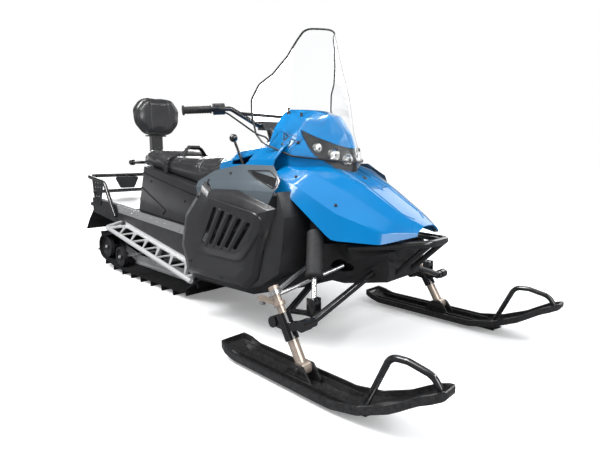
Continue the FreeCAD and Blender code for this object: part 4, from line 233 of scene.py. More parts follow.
# Each plain finish: its name, darkest and lightest colour, roughness from least to most, grain and its depth
PLAIN_FINISHES = {
    "paint": ("azure_gloss_paint", (0.0, 0.146, 0.385), (0.0, 0.186, 0.475), (0.20, 0.28), 900.0, 0.00002,
              {"patch": 2.5, "coat": 0.5, "shine": 0.3, "haze": 0.03}),
    "belt": ("belt_rubber", (0.010, 0.010, 0.011), (0.018, 0.018, 0.019), (0.62, 0.8), 260.0, 0.0006,
             {"patch": 7.0, "shine": 0.15}),
    "wheel": ("moulded_wheel", (0.020, 0.020, 0.022), (0.035, 0.035, 0.038), (0.35, 0.5), 500.0, 0.0002, {}),
    "coated": ("satin_powder_coat", (0.006, 0.006, 0.007), (0.014, 0.014, 0.015), (0.24, 0.36), 700.0,
               0.00012, {"patch": 6.0, "coat": 1.0, "haze": 0.06}),
    "gloss_black": ("gloss_black_coat", (0.006, 0.006, 0.007), (0.014, 0.014, 0.015), (0.12, 0.2), 700.0,
                    0.00008, {"coat": 0.8}),
    "moulding": ("black_moulding", (0.014, 0.014, 0.015), (0.028, 0.028, 0.030), (0.32, 0.46), 1100.0,
                 0.0002, {"patch": 8.0, "coat": 0.2, "haze": 0.2}),
    "panel": ("dark_grey_moulding", (0.016, 0.016, 0.018), (0.028, 0.028, 0.031), (0.28, 0.38), 1200.0,
              0.0002, {"patch": 4.0, "coat": 0.45, "haze": 0.14}),
    # Upper panels: partly their own grey moulding, partly a painted bluish reflection that makes the colour
    # lighter and bluer
    "upper": ("grey_moulding_with_painted_reflection", (0.078, 0.097, 0.113), (0.105, 0.128, 0.147), (0.14, 0.24), 800.0,
              0.00004, {"patch": 3.0, "coat": 1.0, "haze": 0.06}),
    "aluminium": ("brushed_aluminium", (0.70, 0.70, 0.71), (0.84, 0.84, 0.85), (0.26, 0.40), 420.0, 0.00006,
                  {"metal": 0.55, "stretch": (1.0, 0.06, 1.0)}),
    "bright": ("bright_plated_steel", (0.62, 0.62, 0.62), (0.80, 0.80, 0.80), (0.14, 0.26), 600.0, 0.00004,
               {"metal": 0.8}),
    "bronze": ("bronze_metallic_coat", (0.50, 0.41, 0.34), (0.66, 0.56, 0.48), (0.26, 0.38), 800.0, 0.00008,
               {"metal": 0.6, "coat": 0.3}),
    "strip": ("grey_anodised_strip", (0.30, 0.30, 0.30), (0.42, 0.42, 0.42), (0.34, 0.48), 420.0, 0.00006,
              {"metal": 0.55, "stretch": (1.0, 0.06, 1.0)}),
    "deck": ("deck_plate", (0.74, 0.74, 0.75), (0.86, 0.86, 0.87), (0.3, 0.45), 420.0, 0.0001,
             {"metal": 0.7, "stretch": (0.08, 1.0, 1.0)}),
    "cast": ("cast_housing", (0.10, 0.10, 0.105), (0.2, 0.2, 0.21), (0.5, 0.65), 300.0, 0.0005,
             {"metal": 0.5}),
    "grip": ("soft_grip_rubber", (0.014, 0.013, 0.013), (0.030, 0.027, 0.026), (0.55, 0.7), 420.0, 0.0006,
             {"patch": 20.0}),
    "ski": ("speckled_ski_plastic", (0.005, 0.005, 0.005), (0.030, 0.030, 0.031), (0.22, 0.50), 160.0,
            0.0009, {"patch": 90.0, "coat": 0.9, "haze": 0.10}),
    "sleeve": ("sleeve_fabric", (0.010, 0.010, 0.011), (0.028, 0.028, 0.030), (0.6, 0.75), 900.0, 0.0005,
               {"patch": 14.0}),
    "panel_line": ("panel_line_shadow", (0.0, 0.035, 0.13), (0.0, 0.05, 0.17), (0.5, 0.7), 500.0, 0.0001,
                   {}),
    "piping": ("seam_piping", (0.020, 0.020, 0.022), (0.045, 0.045, 0.048), (0.4, 0.55), 900.0, 0.0002,
               {"patch": 30.0}),
    "reflector": ("bright_reflector", (0.50, 0.49, 0.47), (0.74, 0.73, 0.71), (0.08, 0.20), 120.0, 0.0002,
                  {"metal": 1.0, "patch": 20.0}),
    "red": ("red_lamp_lens", (0.22, 0.005, 0.004), (0.36, 0.012, 0.010), (0.08, 0.14), 300.0, 0.0002,
            {"patch": 30.0, "coat": 1.0}),
}
PLAIN_LOOK = {"metal": 0.0, "stretch": (1.0, 1.0, 1.0), "patch": 5.0, "coat": 0.0, "shine": 0.5,
              "haze": 0.04}
WEAR_SCALE = 3.0
NOISE_SPREAD = (0.3, 0.7)
NOISE_ROUGHNESS = 0.55
CLOUD_DETAIL, FINE_DETAIL = 4.0, 2.0

# Scales of the vinyl's clouds, folds and pores, then depth and strength of what stands up
VINYL_COLOURS = ((0.022, 0.022, 0.023), (0.032, 0.032, 0.034))
VINYL_GLOSS = (0.27, 0.33)
VINYL_CLOUDS, VINYL_CLOUD_DETAIL = 9.0, 6.0
VINYL_FOLDS, VINYL_FOLD_FORM = 16.0, (0.0003, 0.3)
VINYL_PORES, VINYL_PORE_FORM = 620.0, (0.0002, 0.5)
VINYL_COAT, VINYL_COAT_HAZE = 0.7, 0.20
WEBBING_COLOURS = ((0.012, 0.012, 0.013), (0.035, 0.035, 0.037))
WEBBING_THREADS, WEBBING_SWAY = 260.0, 0.6
WEBBING_ROUGHNESS, WEBBING_DEPTH = 0.8, 0.0005
SCREEN_COLOURS = ((0.97, 0.985, 0.99), (1.0, 1.0, 1.0))
SCREEN_CLOUDS, SCREEN_GLOSS = 3.0, (0.0, 0.015)
SCREEN_BENDING, SCREEN_SHINE = 1.12, 0.5

# Which nodes each finish is for
FINISH_NODES = {
    "belt": ("track", "snow_flap"),
    "wheel": ("track_wheels",),
    "aluminium": ("slide_frame", "running_boards"),
    "moulding": ("drive_axle", "tunnel", "tail_lamp", "headlights", "side_fairings", "belly_pan",
                 "front_frame", "controls"),
    "strip": ("tunnel_side_strips",),
    "deck": ("cargo_deck",),
    "coated": ("cargo_rack", "rear_hitch", "seat_frame", "steering_support", "front_bumper", "steering_post",
               "handlebar_tube", "shift_lever", "ski_loop_right", "ski_loop_left"),
    "paint": ("hood", "cowl", "console"),
    "panel": ("side_panels", "seat_box"),
    "upper": ("upper_panels",),
    "screen": ("windscreen",),
    "vinyl": ("front_seat", "rear_seat", "backrest_pad"),
    "webbing": ("seat_strap",),
    "cast": ("engine_block",),
    "gloss_black": ("knuckles", "lower_arms"),
    "bright": ("upper_arms", "tie_rod_right", "tie_rod_left"),
    "sleeve": ("shocks",),
    "grip": ("grips", "control_cables"),
    "bronze": ("spindle_right", "spindle_left"),
    "ski": ("ski_right", "ski_left"),
}


def new_finish(name):
    material = bpy.data.materials.new(name)
    material.use_nodes = True
    tree = material.node_tree
    return material, tree.nodes, tree.links, tree.nodes["Principled BSDF"]


def object_points(nodes, links, stretch=PLAIN_LOOK["stretch"]):
    place = nodes.new("ShaderNodeTexCoord")
    mapping = nodes.new("ShaderNodeMapping")
    mapping.inputs["Scale"].default_value = stretch
    links.new(place.outputs["Object"], mapping.inputs["Vector"])
    return mapping.outputs["Vector"]


def noise(nodes, links, points, scale, detail=CLOUD_DETAIL):
    texture = nodes.new("ShaderNodeTexNoise")
    texture.inputs["Scale"].default_value = scale
    texture.inputs["Detail"].default_value = detail
    texture.inputs["Roughness"].default_value = NOISE_ROUGHNESS
    links.new(points, texture.inputs["Vector"])
    return texture.outputs["Fac"]


def ramp(nodes, links, value, colours):
    blend = nodes.new("ShaderNodeValToRGB")
    for element, position, colour in zip(blend.color_ramp.elements, NOISE_SPREAD, colours):
        element.position = position
        element.color = (*colour, 1.0)
    links.new(value, blend.inputs["Fac"])
    return blend.outputs["Color"]


def ranged(nodes, links, value, limits):
    spread = nodes.new("ShaderNodeMapRange")
    spread.inputs["From Min"].default_value, spread.inputs["From Max"].default_value = NOISE_SPREAD
    spread.inputs["To Min"].default_value, spread.inputs["To Max"].default_value = limits
    links.new(value, spread.inputs["Value"])
    return spread.outputs["Result"]


def bumped(nodes, links, value, shader, depth, strength=1.0, under=None):
    bump = nodes.new("ShaderNodeBump")
    bump.inputs["Strength"].default_value = strength
    bump.inputs["Distance"].default_value = depth
    links.new(value, bump.inputs["Height"])
    if under is not None:
        links.new(under, bump.inputs["Normal"])
    links.new(bump.outputs["Normal"], shader.inputs["Normal"])
    return bump.outputs["Normal"]


def plain_finish(name, low, high, gloss, grain, depth, extras):
    """A clouded colour and roughness under a fine grain; the extras say where it isn't plain."""
    look = {**PLAIN_LOOK, **extras}
    material, nodes, links, shader = new_finish(name)
    points = object_points(nodes, links, look["stretch"])
    cloud = noise(nodes, links, points, look["patch"])
    links.new(ramp(nodes, links, cloud, (low, high)), shader.inputs["Base Color"])
    wear = noise(nodes, links, points, look["patch"] * WEAR_SCALE)
    links.new(ranged(nodes, links, wear, gloss), shader.inputs["Roughness"])
    bumped(nodes, links, noise(nodes, links, points, grain, FINE_DETAIL), shader, depth)
    shader.inputs["Metallic"].default_value = look["metal"]
    shader.inputs["Specular IOR Level"].default_value = look["shine"]
    shader.inputs["Coat Weight"].default_value = look["coat"]
    shader.inputs["Coat Roughness"].default_value = look["haze"]
    return material


def vinyl_finish():
    material, nodes, links, shader = new_finish("grained_vinyl")
    points = object_points(nodes, links)
    cloud = noise(nodes, links, points, VINYL_CLOUDS, VINYL_CLOUD_DETAIL)
    links.new(ramp(nodes, links, cloud, VINYL_COLOURS), shader.inputs["Base Color"])
    links.new(ranged(nodes, links, cloud, VINYL_GLOSS), shader.inputs["Roughness"])
    pores = nodes.new("ShaderNodeTexVoronoi")
    pores.inputs["Scale"].default_value = VINYL_PORES
    links.new(points, pores.inputs["Vector"])
    swell = noise(nodes, links, points, VINYL_FOLDS, FINE_DETAIL)
    folds = bumped(nodes, links, swell, shader, *VINYL_FOLD_FORM)
    bumped(nodes, links, pores.outputs["Distance"], shader, *VINYL_PORE_FORM, folds)
    shader.inputs["Coat Weight"].default_value = VINYL_COAT
    shader.inputs["Coat Roughness"].default_value = VINYL_COAT_HAZE
    return material


def webbing_finish():
    material, nodes, links, shader = new_finish("woven_webbing")
    weave = nodes.new("ShaderNodeTexWave")
    weave.inputs["Scale"].default_value = WEBBING_THREADS
    weave.inputs["Distortion"].default_value = WEBBING_SWAY
    links.new(object_points(nodes, links), weave.inputs["Vector"])
    links.new(ramp(nodes, links, weave.outputs["Fac"], WEBBING_COLOURS), shader.inputs["Base Color"])
    shader.inputs["Roughness"].default_value = WEBBING_ROUGHNESS
    bumped(nodes, links, weave.outputs["Fac"], shader, WEBBING_DEPTH)
    return material


def screen_finish(name):
    material, nodes, links, shader = new_finish(name)
    haze = noise(nodes, links, object_points(nodes, links), SCREEN_CLOUDS)
    links.new(ramp(nodes, links, haze, SCREEN_COLOURS), shader.inputs["Base Color"])
    links.new(ranged(nodes, links, haze, SCREEN_GLOSS), shader.inputs["Roughness"])
    shader.inputs["Transmission Weight"].default_value = 1.0
    shader.inputs["IOR"].default_value = SCREEN_BENDING
    shader.inputs["Specular IOR Level"].default_value = SCREEN_SHINE
    return material


def build_finishes():
    made = {key: plain_finish(*values) for key, values in PLAIN_FINISHES.items()}
    made["vinyl"] = vinyl_finish()
    made["webbing"] = webbing_finish()
    made["screen"] = screen_finish("clear_polycarbonate")
    made["lens"] = screen_finish("lamp_lens")
    return made


def dress_nodes():
    for finish, nodes in FINISH_NODES.items():
        for node in nodes:
            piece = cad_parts[node]
            piece.data.materials.clear()
            piece.data.materials.append(finishes[finish])


# Modelling helpers

# Screw heads, as shares of their radius, and what counts as a face that looks up
HEAD_SIDES = 16
HEAD_DEPTH_SHARE = 0.8
HEAD_ROUND_SHARE = 0.3
HEAD_LIFT_SHARE = 0.25
SOCKET_WALL_SHARE = 0.25
SOCKET_DEPTH_SHARE = 0.35
LOOKS_UP = 0.99

MERGE_REACH = 0.00005
FLAT_DEG = 1.0
BEVEL_DEG, MOULDED_BEVEL_DEG = 40.0, 14.0
WIRE_ORDER, WIRE_FINENESS = 3, 6
WIRE_SIDES, FINE_SIDES = 4, 2
EDGE_SEGMENTS = 3
CAGE_LEVELS = 3


def rest_hands():
    if bpy.context.object is not None and bpy.context.object.mode != "OBJECT":
        bpy.ops.object.mode_set(mode="OBJECT")
    bpy.ops.object.select_all(action="DESELECT")


def hold(piece):
    rest_hands()
    bpy.context.view_layer.objects.active = piece
    piece.select_set(True)


def open_mesh(piece):
    """Goes into edit mode with the whole mesh selected."""
    hold(piece)
    bpy.ops.object.mode_set(mode="EDIT")
    bpy.ops.mesh.select_all(action="SELECT")


def close_mesh():
    bpy.ops.object.mode_set(mode="OBJECT")


def settle(piece):
    hold(piece)
    bpy.ops.object.transform_apply(location=True, rotation=True, scale=True)


def pull(x, y, z):
    """Extrudes what is selected by a step."""
    bpy.ops.mesh.extrude_region_move(TRANSFORM_OT_translate={"value": (x, y, z)})


def turn_outward(piece):
    open_mesh(piece)
    bpy.ops.mesh.normals_make_consistent(inside=False)
    close_mesh()


def apply_modifier(piece, kind, **settings):
    hold(piece)
    modifier = piece.modifiers.new(kind.lower(), kind)
    for name, value in settings.items():
        setattr(modifier, name, value)
    bpy.ops.object.modifier_apply(modifier=modifier.name)


def rounded(piece, width, segments=2, angle_deg=BEVEL_DEG):
    apply_modifier(piece, "BEVEL", width=width, segments=segments, limit_method="ANGLE",
                   angle_limit=math.radians(angle_deg))


def finish_piece(piece, name, finish, angle_deg=SHADE_DEG, body=BODY):
    hold(piece)
    bpy.ops.object.shade_smooth_by_angle(angle=math.radians(angle_deg))
    piece.name = name
    piece.data.materials.clear()
    piece.data.materials.append(finishes[finish])
    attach(piece, body)
    return piece


def joined(pieces):
    hold(pieces[0])
    for piece in pieces:
        piece.select_set(True)
    if len(pieces) > 1:
        bpy.ops.object.join()
    return bpy.context.active_object


def new_grid(columns, rows):
    """A flat grid of faces, with each of its points and the point's share of both widths."""
    rest_hands()
    bpy.ops.mesh.primitive_grid_add(x_subdivisions=columns, y_subdivisions=rows, size=1.0)
    grid = bpy.context.active_object
    return grid, [(vertex, vertex.co.x + 0.5, vertex.co.y + 0.5) for vertex in grid.data.vertices]


def open_face(corners):
    """One face through corners in space, left open in edit mode."""
    rest_hands()
    bpy.ops.mesh.primitive_circle_add(vertices=len(corners), radius=1.0, fill_type="NGON")
    face = bpy.context.active_object
    for vertex, corner in zip(face.data.vertices, corners):
        vertex.co = corner
    open_mesh(face)
    return face


def side_plate(corners, x, thickness):
    """A plate drawn from the side at one place across the machine, thickened toward larger x."""
    plate = open_face([spot(x, y, z) for y, z in corners])
    pull(thickness, 0.0, 0.0)
    turn_outward(plate)
    return plate


def rod(start, end, radius, sides):
    rest_hands()
    bpy.ops.mesh.primitive_cylinder_add(vertices=sides, radius=radius, depth=(end - start).length)
    piece = bpy.context.active_object
    aim(piece, (start + end) / 2, end - start, "Z")
    settle(piece)
    return piece


def turned(start, end, profile, sides=36):
    """A lathe shape from start to end: its profile holds shares of that length, from zero, and radii."""
    rest_hands()
    length = (end - start).length
    bpy.ops.mesh.primitive_circle_add(vertices=sides, radius=profile[0][1], fill_type="NGON")
    piece = bpy.context.active_object
    open_mesh(piece)
    for (share, radius), (following, larger) in zip(profile, profile[1:]):
        pull(0.0, 0.0, (following - share) * length)
        scale = larger / radius
        bpy.ops.transform.resize(value=(scale, scale, 1.0), center_override=(0.0, 0.0, following * length))
    turn_outward(piece)
    aim(piece, start, end - start, "Z")
    settle(piece)
    return piece


def widened(profile_shares, radius):
    """A lathe profile from shares of its length and of one radius."""
    return [(share, radius * width_share) for share, width_share in profile_shares]


def bent_wire(points, radius, sides=WIRE_SIDES):
    curve = bpy.data.curves.new("wire", "CURVE")
    curve.dimensions = "3D"
    curve.bevel_depth = radius
    curve.bevel_resolution = sides
    curve.use_fill_caps = True
    curve.resolution_u = WIRE_FINENESS
    spline = curve.splines.new("NURBS")
    spline.points.add(len(points) - 1)
    for knot, place in zip(spline.points, points):
        knot.co = (*place, 1.0)
    spline.order_u = WIRE_ORDER
    spline.use_endpoint_u = True
    hold(new_object("wire", curve))
    bpy.ops.object.convert(target="MESH")
    return bpy.context.active_object


def merged_copy(node, name):
    piece = new_object(name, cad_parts[node].data.copy())
    open_mesh(piece)
    bpy.ops.mesh.remove_doubles(threshold=MERGE_REACH)
    close_mesh()
    if piece.data.has_custom_normals:
        bpy.ops.mesh.customdata_custom_splitnormals_clear()
    return piece


def softened(node, name, finish, edge, angle_deg=MOULDED_BEVEL_DEG):
    """The node's own shape with its flats joined and its edges rounded like a moulding's."""
    piece = merged_copy(node, name)
    open_mesh(piece)
    bpy.ops.mesh.dissolve_limited(angle_limit=math.radians(FLAT_DEG))
    close_mesh()
    rounded(piece, edge, EDGE_SEGMENTS, angle_deg)
    finish_piece(piece, name, finish)
    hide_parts(node)
    return piece


def surface_of(carrier):
    return BVHTree.FromObject(carrier, bpy.context.evaluated_depsgraph_get())


def seats_on(tree, starts, way):
    """Where lines cast one way meet a surface, and which way it looks there, without those that miss."""
    seats = []
    for start in starts:
        place, normal = tree.ray_cast(start, way)[:2]
        if place is not None:
            seats.append((place, -normal if normal.dot(way) > 0.0 else normal))
    return seats


def side_seats(tree, places):
    """Seats on both sides of the machine, for places given along it and in height."""
    return [seat for side in SIDES for seat in seats_on(tree, side_run(side, places), inward(side))]


def spread_points(corners, step):
    """Even points along straight runs between corners."""
    points = []
    for one, other in zip(corners, corners[1:]):
        count = max(1, round((other - one).length / step))
        points += [one.lerp(other, number / count) for number in range(count)]
    return points + [corners[-1]]


def cast_line(tree, corners, way, step):
    """A run of corners laid on a surface along one direction."""
    return [place for place, normal in seats_on(tree, spread_points(corners, step), way)]


def laid_wire(tree, corners, way, step, sink, radius, sides=WIRE_SIDES):
    """A round bead along a run of corners laid on a surface, sunk in by a little."""
    places = cast_line(tree, corners, way, step)
    return bent_wire([place + Vector(way) * sink for place in places], radius, sides)


def closed_run(side, places):
    return side_run(side, (*places, places[0]))


def screw_heads(name, seats, radius, finish="moulding"):
    """Dome heads with a socket, one at each seat: a place and the way its face looks."""
    heads = []
    for place, normal in seats:
        rest_hands()
        bpy.ops.mesh.primitive_cylinder_add(vertices=HEAD_SIDES, radius=radius,
                                            depth=radius * HEAD_DEPTH_SHARE)
        head = bpy.context.active_object
        rounded(head, radius * HEAD_ROUND_SHARE)
        for face in head.data.polygons:
            face.select = face.normal.z > LOOKS_UP
        bpy.ops.object.mode_set(mode="EDIT")
        bpy.ops.mesh.select_mode(type="FACE")
        bpy.ops.mesh.inset(thickness=radius * SOCKET_WALL_SHARE)
        pull(0.0, 0.0, -radius * SOCKET_DEPTH_SHARE)
        close_mesh()
        aim(head, place + normal * radius * HEAD_LIFT_SHARE, normal, "Z")
        settle(head)
        heads.append(head)
    finish_piece(joined(heads), name, finish)


# Bodywork shells: a cage from the roof's middle to both lower edges, smoothed between sharp character lines

# Places along the machine, half sections as shares from the roof's middle to the lower edge, then half
# width, lowest place and height, and how sharp the lines along and across stay
HOOD_STATIONS = (-0.190, -0.115, 0.040, 0.217, 0.345)
HOOD_SECTION_SHARES = (
    ((0.0, 0.23), (0.10, 0.22), (0.17, 0.19), (0.22, 0.15), (0.235, 0.11)),
    ((0.0, 0.37), (0.20, 0.36), (0.38, 0.28), (0.54, 0.16), (0.60, 0.03)),
    ((0.0, 0.70), (0.26, 0.69), (0.50, 0.58), (0.77, 0.38), (0.86, 0.06)),
    ((0.0, 0.98), (0.34, 0.97), (0.62, 0.90), (0.87, 0.72), (0.95, 0.56)),
    ((0.0, 0.99), (0.36, 0.985), (0.66, 0.97), (0.88, 0.86), (0.985, 0.66)),
)
HOOD_SIZES = (0.330, 0.452, 0.292)
HOOD_LINE_CREASES = (0.0, 1.0, 0.75, 1.0, 1.0)
HOOD_ROW_CREASES = (1.0, 0.85, 0.6, 0.75, 1.0)
COWL_STATIONS = (0.148, 0.192, 0.254, 0.334, 0.414, 0.480)
COWL_SECTION_SHARES = (
    ((0.0, 0.12), (0.03, 0.115), (0.055, 0.09), (0.075, 0.04), (0.08, -0.10), (0.085, -0.20)),
    ((0.0, 0.51), (0.08, 0.50), (0.16, 0.42), (0.25, 0.29), (0.31, 0.14), (0.34, -0.20)),
    ((0.0, 0.77), (0.13, 0.76), (0.27, 0.63), (0.42, 0.41), (0.53, 0.20), (0.57, -0.12)),
    ((0.0, 0.88), (0.17, 0.865), (0.37, 0.73), (0.60, 0.48), (0.75, 0.27), (0.79, -0.08)),
    ((0.0, 0.92), (0.18, 0.905), (0.38, 0.80), (0.62, 0.52), (0.77, 0.29), (0.82, -0.08)),
    ((0.0, 0.94), (0.18, 0.93), (0.35, 0.86), (0.57, 0.60), (0.71, 0.32), (0.78, -0.08)),
)
COWL_SIZES = (0.262, 0.742, 0.262)
COWL_LINE_CREASES = (0.0, 1.0, 0.7, 1.0, 0.9, 0.6)
COWL_ROW_CREASES = (1.0, 0.7, 0.55, 0.5, 0.5, 0.9)

# Beads and lines on the shells, from above or the side; their forms are spacing, how far sunk in, and radius
HOOD_BEADS = (
    ((0.064, 0.255), (0.060, 0.229), (0.058, -0.119), (0.030, -0.150)),
    ((0.060, 0.120), (0.020, 0.055), (0.0, 0.012)),
)
HOOD_BEAD_FORM = (0.02, 0.0008, 0.0030)
HOOD_LINE = ((0.052, 0.243), (0.052, 0.030), (0.0, 0.022))
HOOD_LINE_FORM = (0.02, -0.0002, 0.0013)
COWL_PLATE = ((0.428, 0.887), (0.304, 0.844), (0.348, 0.778), (0.470, 0.824))
COWL_PLATE_FORM = (0.02, -0.0003, 0.0012)
COWL_VENTS = (
    ((0.405, 0.872), (0.368, 0.858), (0.384, 0.838)),
    ((0.352, 0.846), (0.326, 0.838), (0.344, 0.806)),
)
COWL_VENT_FORM = (0.008, 0.0, 0.0024)

# Screws, plug and posts on the shells; a profile holds shares of the length, and radii
HOOD_SCREWS = ((0.252, 0.246), (0.232, 0.06))
HOOD_SCREW_RADIUS = 0.0065
HOOD_PLUG_Y = 0.101
PLUG_SINK, PLUG_RISE = 0.003, 0.004
PLUG_PROFILE = ((0.0, 0.011), (0.55, 0.0115), (0.8, 0.010), (1.0, 0.0065), (0.75, 0.005), (0.7, 0.0005))
COWL_SCREW_START = (0.5, 0.384, 0.824)
COWL_SCREW_RADIUS = 0.006
POST_X, POST_SINK = 0.09, 0.004
POST_HEIGHTS = ((0.452, 0.026), (0.373, 0.014))
POST_PROFILE = ((0.0, 0.0075), (0.35, 0.0075), (0.42, 0.0045), (0.7, 0.0045), (0.76, 0.0065), (0.94, 0.0065),
                (1.0, 0.004))
LAMP_SLIT = ((0.334, 0.886), (0.132, 0.790), (0.132, 0.640), (0.201, 0.735), (0.250, 0.772))
SLIT_HALF = 0.4


def cage_shell(stations, section_shares, sizes, line_creases, row_creases):
    half, low, height = sizes
    middle, rows = len(section_shares[0]) - 1, len(stations) - 1
    piece, points = new_grid(2 * middle, rows)
    places = []
    for vertex, across, along in points:
        column, row = round(across * 2 * middle), round(along * rows)
        line = abs(column - middle)
        places.append((line, row))
        share_x, share_z = section_shares[row][line]
        side = 1.0 if column > middle else -1.0
        vertex.co = spot(side * share_x * half, stations[row], low + share_z * height)
    creases = piece.data.attributes.new("crease_edge", "FLOAT", "EDGE")
    for edge in piece.data.edges:
        one, other = (places[index] for index in edge.vertices)
        crease = line_creases[one[0]] if one[0] == other[0] else row_creases[one[1]]
        creases.data[edge.index].value = crease
    apply_modifier(piece, "SUBSURF", levels=CAGE_LEVELS, render_levels=CAGE_LEVELS,
                   boundary_smooth="PRESERVE_CORNERS")
    turn_outward(piece)
    highest = max(piece.data.polygons, key=lambda face: face.center.z)
    if highest.normal.z < 0.0:
        piece.data.flip_normals()
    apply_modifier(piece, "SOLIDIFY", thickness=SHELL_WALL, offset=-1.0)
    return piece


def make_hood():
    shell = cage_shell(HOOD_STATIONS, HOOD_SECTION_SHARES, HOOD_SIZES, HOOD_LINE_CREASES, HOOD_ROW_CREASES)
    finish_piece(shell, "hood_shell", "paint", SHELL_SHADE_DEG)
    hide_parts("hood")
    tree = surface_of(shell)
    beads, lines, starts = [], [], []
    for side in SIDES:
        beads += [laid_wire(tree, top_run(side, run), DOWN, *HOOD_BEAD_FORM) for run in HOOD_BEADS]
        lines.append(laid_wire(tree, top_run(side, HOOD_LINE), DOWN, *HOOD_LINE_FORM))
        starts += top_run(side, HOOD_SCREWS)
    finish_piece(joined(beads), "hood_beads", "paint")
    finish_piece(joined(lines), "hood_panel_lines", "panel_line")
    screw_heads("hood_screws", seats_on(tree, starts, DOWN), HOOD_SCREW_RADIUS)
    place, normal = seats_on(tree, top_run(1.0, [(0.0, HOOD_PLUG_Y)]), DOWN)[0]
    plug = turned(place - normal * PLUG_SINK, place + normal * PLUG_RISE, PLUG_PROFILE)
    finish_piece(plug, "hood_plug", "moulding")


def make_cowl():
    shell = cage_shell(COWL_STATIONS, COWL_SECTION_SHARES, COWL_SIZES, COWL_LINE_CREASES, COWL_ROW_CREASES)
    slit = side_plate(LAMP_SLIT, -SLIT_HALF, 2 * SLIT_HALF)
    cover = new_object("lamp_cover", shell.data.copy())
    apply_modifier(cover, "BOOLEAN", operation="INTERSECT", object=slit, solver="EXACT")
    finish_piece(cover, "lamp_cover", "lens")
    apply_modifier(shell, "BOOLEAN", operation="DIFFERENCE", object=slit, solver="EXACT")
    bpy.data.objects.remove(slit)
    finish_piece(shell, "cowl_shell", "paint", SHELL_SHADE_DEG)
    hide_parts("cowl")
    tree = surface_of(shell)
    up = Vector((0.0, 0.0, 1.0))
    posts, lines, rims = [], [], []
    for side in SIDES:
        for y, height in POST_HEIGHTS:
            place, normal = seats_on(tree, top_run(side, [(POST_X, y)]), DOWN)[0]
            posts.append(turned(place - up * POST_SINK, place + up * height, POST_PROFILE, 20))
        way = inward(side)
        lines.append(laid_wire(tree, closed_run(side, COWL_PLATE), way, *COWL_PLATE_FORM))
        rims += [laid_wire(tree, closed_run(side, vent), way, *COWL_VENT_FORM) for vent in COWL_VENTS]
    finish_piece(joined(posts), "cowl_posts", "moulding")
    finish_piece(joined(lines), "cowl_plate_lines", "panel_line")
    finish_piece(joined(rims), "cowl_vent_rims", "moulding")
    x, y, z = COWL_SCREW_START
    seats = [seat for side in SIDES for seat in seats_on(tree, [spot(side * x, y, z)], inward(side))]
    screw_heads("cowl_screws", seats, COWL_SCREW_RADIUS)


# Plain mouldings: the node's own form with rounded edges, and how wide these are

CONSOLE_EDGE, SIDE_FAIRING_EDGE, BELLY_EDGE = 0.005, 0.003, 0.005


def make_mouldings():
    softened("console", "console_shell", "paint", CONSOLE_EDGE)
    softened("side_fairings", "fairing_mouldings", "moulding", SIDE_FAIRING_EDGE)
    softened("belly_pan", "belly_pan_moulding", "moulding", BELLY_EDGE)


# Head lamps: bright bowls with a clear lens in the dark wedge

# Each bowl's place across the machine, height and radius; profiles are shares of the length and radius
LAMP_BOWLS = ((0.034, 0.757, 0.025), (0.082, 0.779, 0.025), (0.124, 0.806, 0.020))
BOWL_TILT = 0.6
BOWL_SINK, BOWL_DEPTH = 0.004, 0.012
LENS_START, LENS_END = 0.010, 0.016
BOWL_PROFILE_SHARES = ((0.0, 1.0), (0.8, 1.0), (1.0, 0.95), (0.95, 0.86), (0.62, 0.62), (0.45, 0.30),
                       (0.44, 0.26), (0.75, 0.22), (0.8, 0.05))
LENS_PROFILE_SHARES = ((0.0, 0.9), (0.3, 0.88), (0.7, 0.6), (1.0, 0.06))


def make_lamp_bowls():
    tree = surface_of(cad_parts["headlights"])
    bowls, lenses = [], []
    for side in SIDES:
        for x, z, radius in LAMP_BOWLS:
            place, normal = seats_on(tree, [spot(side * x, BEFORE, z)], BACK)[0]
            way = (normal + Vector((0.0, -BOWL_TILT, 0.0))).normalized()
            start = place - way * BOWL_SINK
            bowls.append(turned(start, start + way * BOWL_DEPTH, widened(BOWL_PROFILE_SHARES, radius)))
            lenses.append(turned(start + way * LENS_START, start + way * LENS_END,
                                 widened(LENS_PROFILE_SHARES, radius)))
    finish_piece(joined(bowls), "lamp_bowls", "reflector")
    finish_piece(joined(lenses), "lamp_lenses", "lens")


# Windscreen: the sheet's own rim drawn as a thin dark tube, painted shade for the dark look of the clear
# sheet's edge, and its screws

EDGE_SHADE_RADIUS = 0.0036
RIM_DEG = 45.0
SCREEN_SCREWS = ((0.072, 0.800), (0.172, 0.830))
SCREEN_SCREW_RADIUS = 0.0075


def make_screen_edge():
    # The sheet's rim kept as a dark tube: painted shade standing for the dark look of the clear sheet's edge
    edge = merged_copy("windscreen", "screen_edge_painted_shade")
    hold(edge)
    bpy.ops.object.mode_set(mode="EDIT")
    bpy.ops.mesh.select_mode(type="EDGE")
    bpy.ops.mesh.select_all(action="DESELECT")
    bpy.ops.mesh.edges_select_sharp(sharpness=math.radians(RIM_DEG))
    bpy.ops.mesh.select_all(action="INVERT")
    bpy.ops.mesh.delete(type="EDGE_FACE")
    close_mesh()
    bpy.ops.object.convert(target="CURVE")
    edge = bpy.context.active_object
    edge.data.bevel_depth = EDGE_SHADE_RADIUS
    edge.data.bevel_resolution = FINE_SIDES
    bpy.ops.object.convert(target="MESH")
    finish_piece(bpy.context.active_object, "screen_edge_painted_shade", "moulding")


def make_screen_screws():
    tree = surface_of(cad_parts["windscreen"])
    starts = [spot(side * x, BEFORE, z) for side in SIDES for x, z in SCREEN_SCREWS]
    screw_heads("screen_screws", seats_on(tree, starts, BACK), SCREEN_SCREW_RADIUS)


# Side panels: a moulded recess with louvre blades, wire mesh behind the slots, the fairing's side and screws

PANEL_EDGE, PANEL_EDGE_DEG = 0.004, 16.0
PANEL_SCREWS = ((0.714, 0.600), (0.300, 0.470), (0.330, 0.330), (0.790, 0.300), (0.560, 0.262))
PANEL_SCREW_RADIUS = 0.007

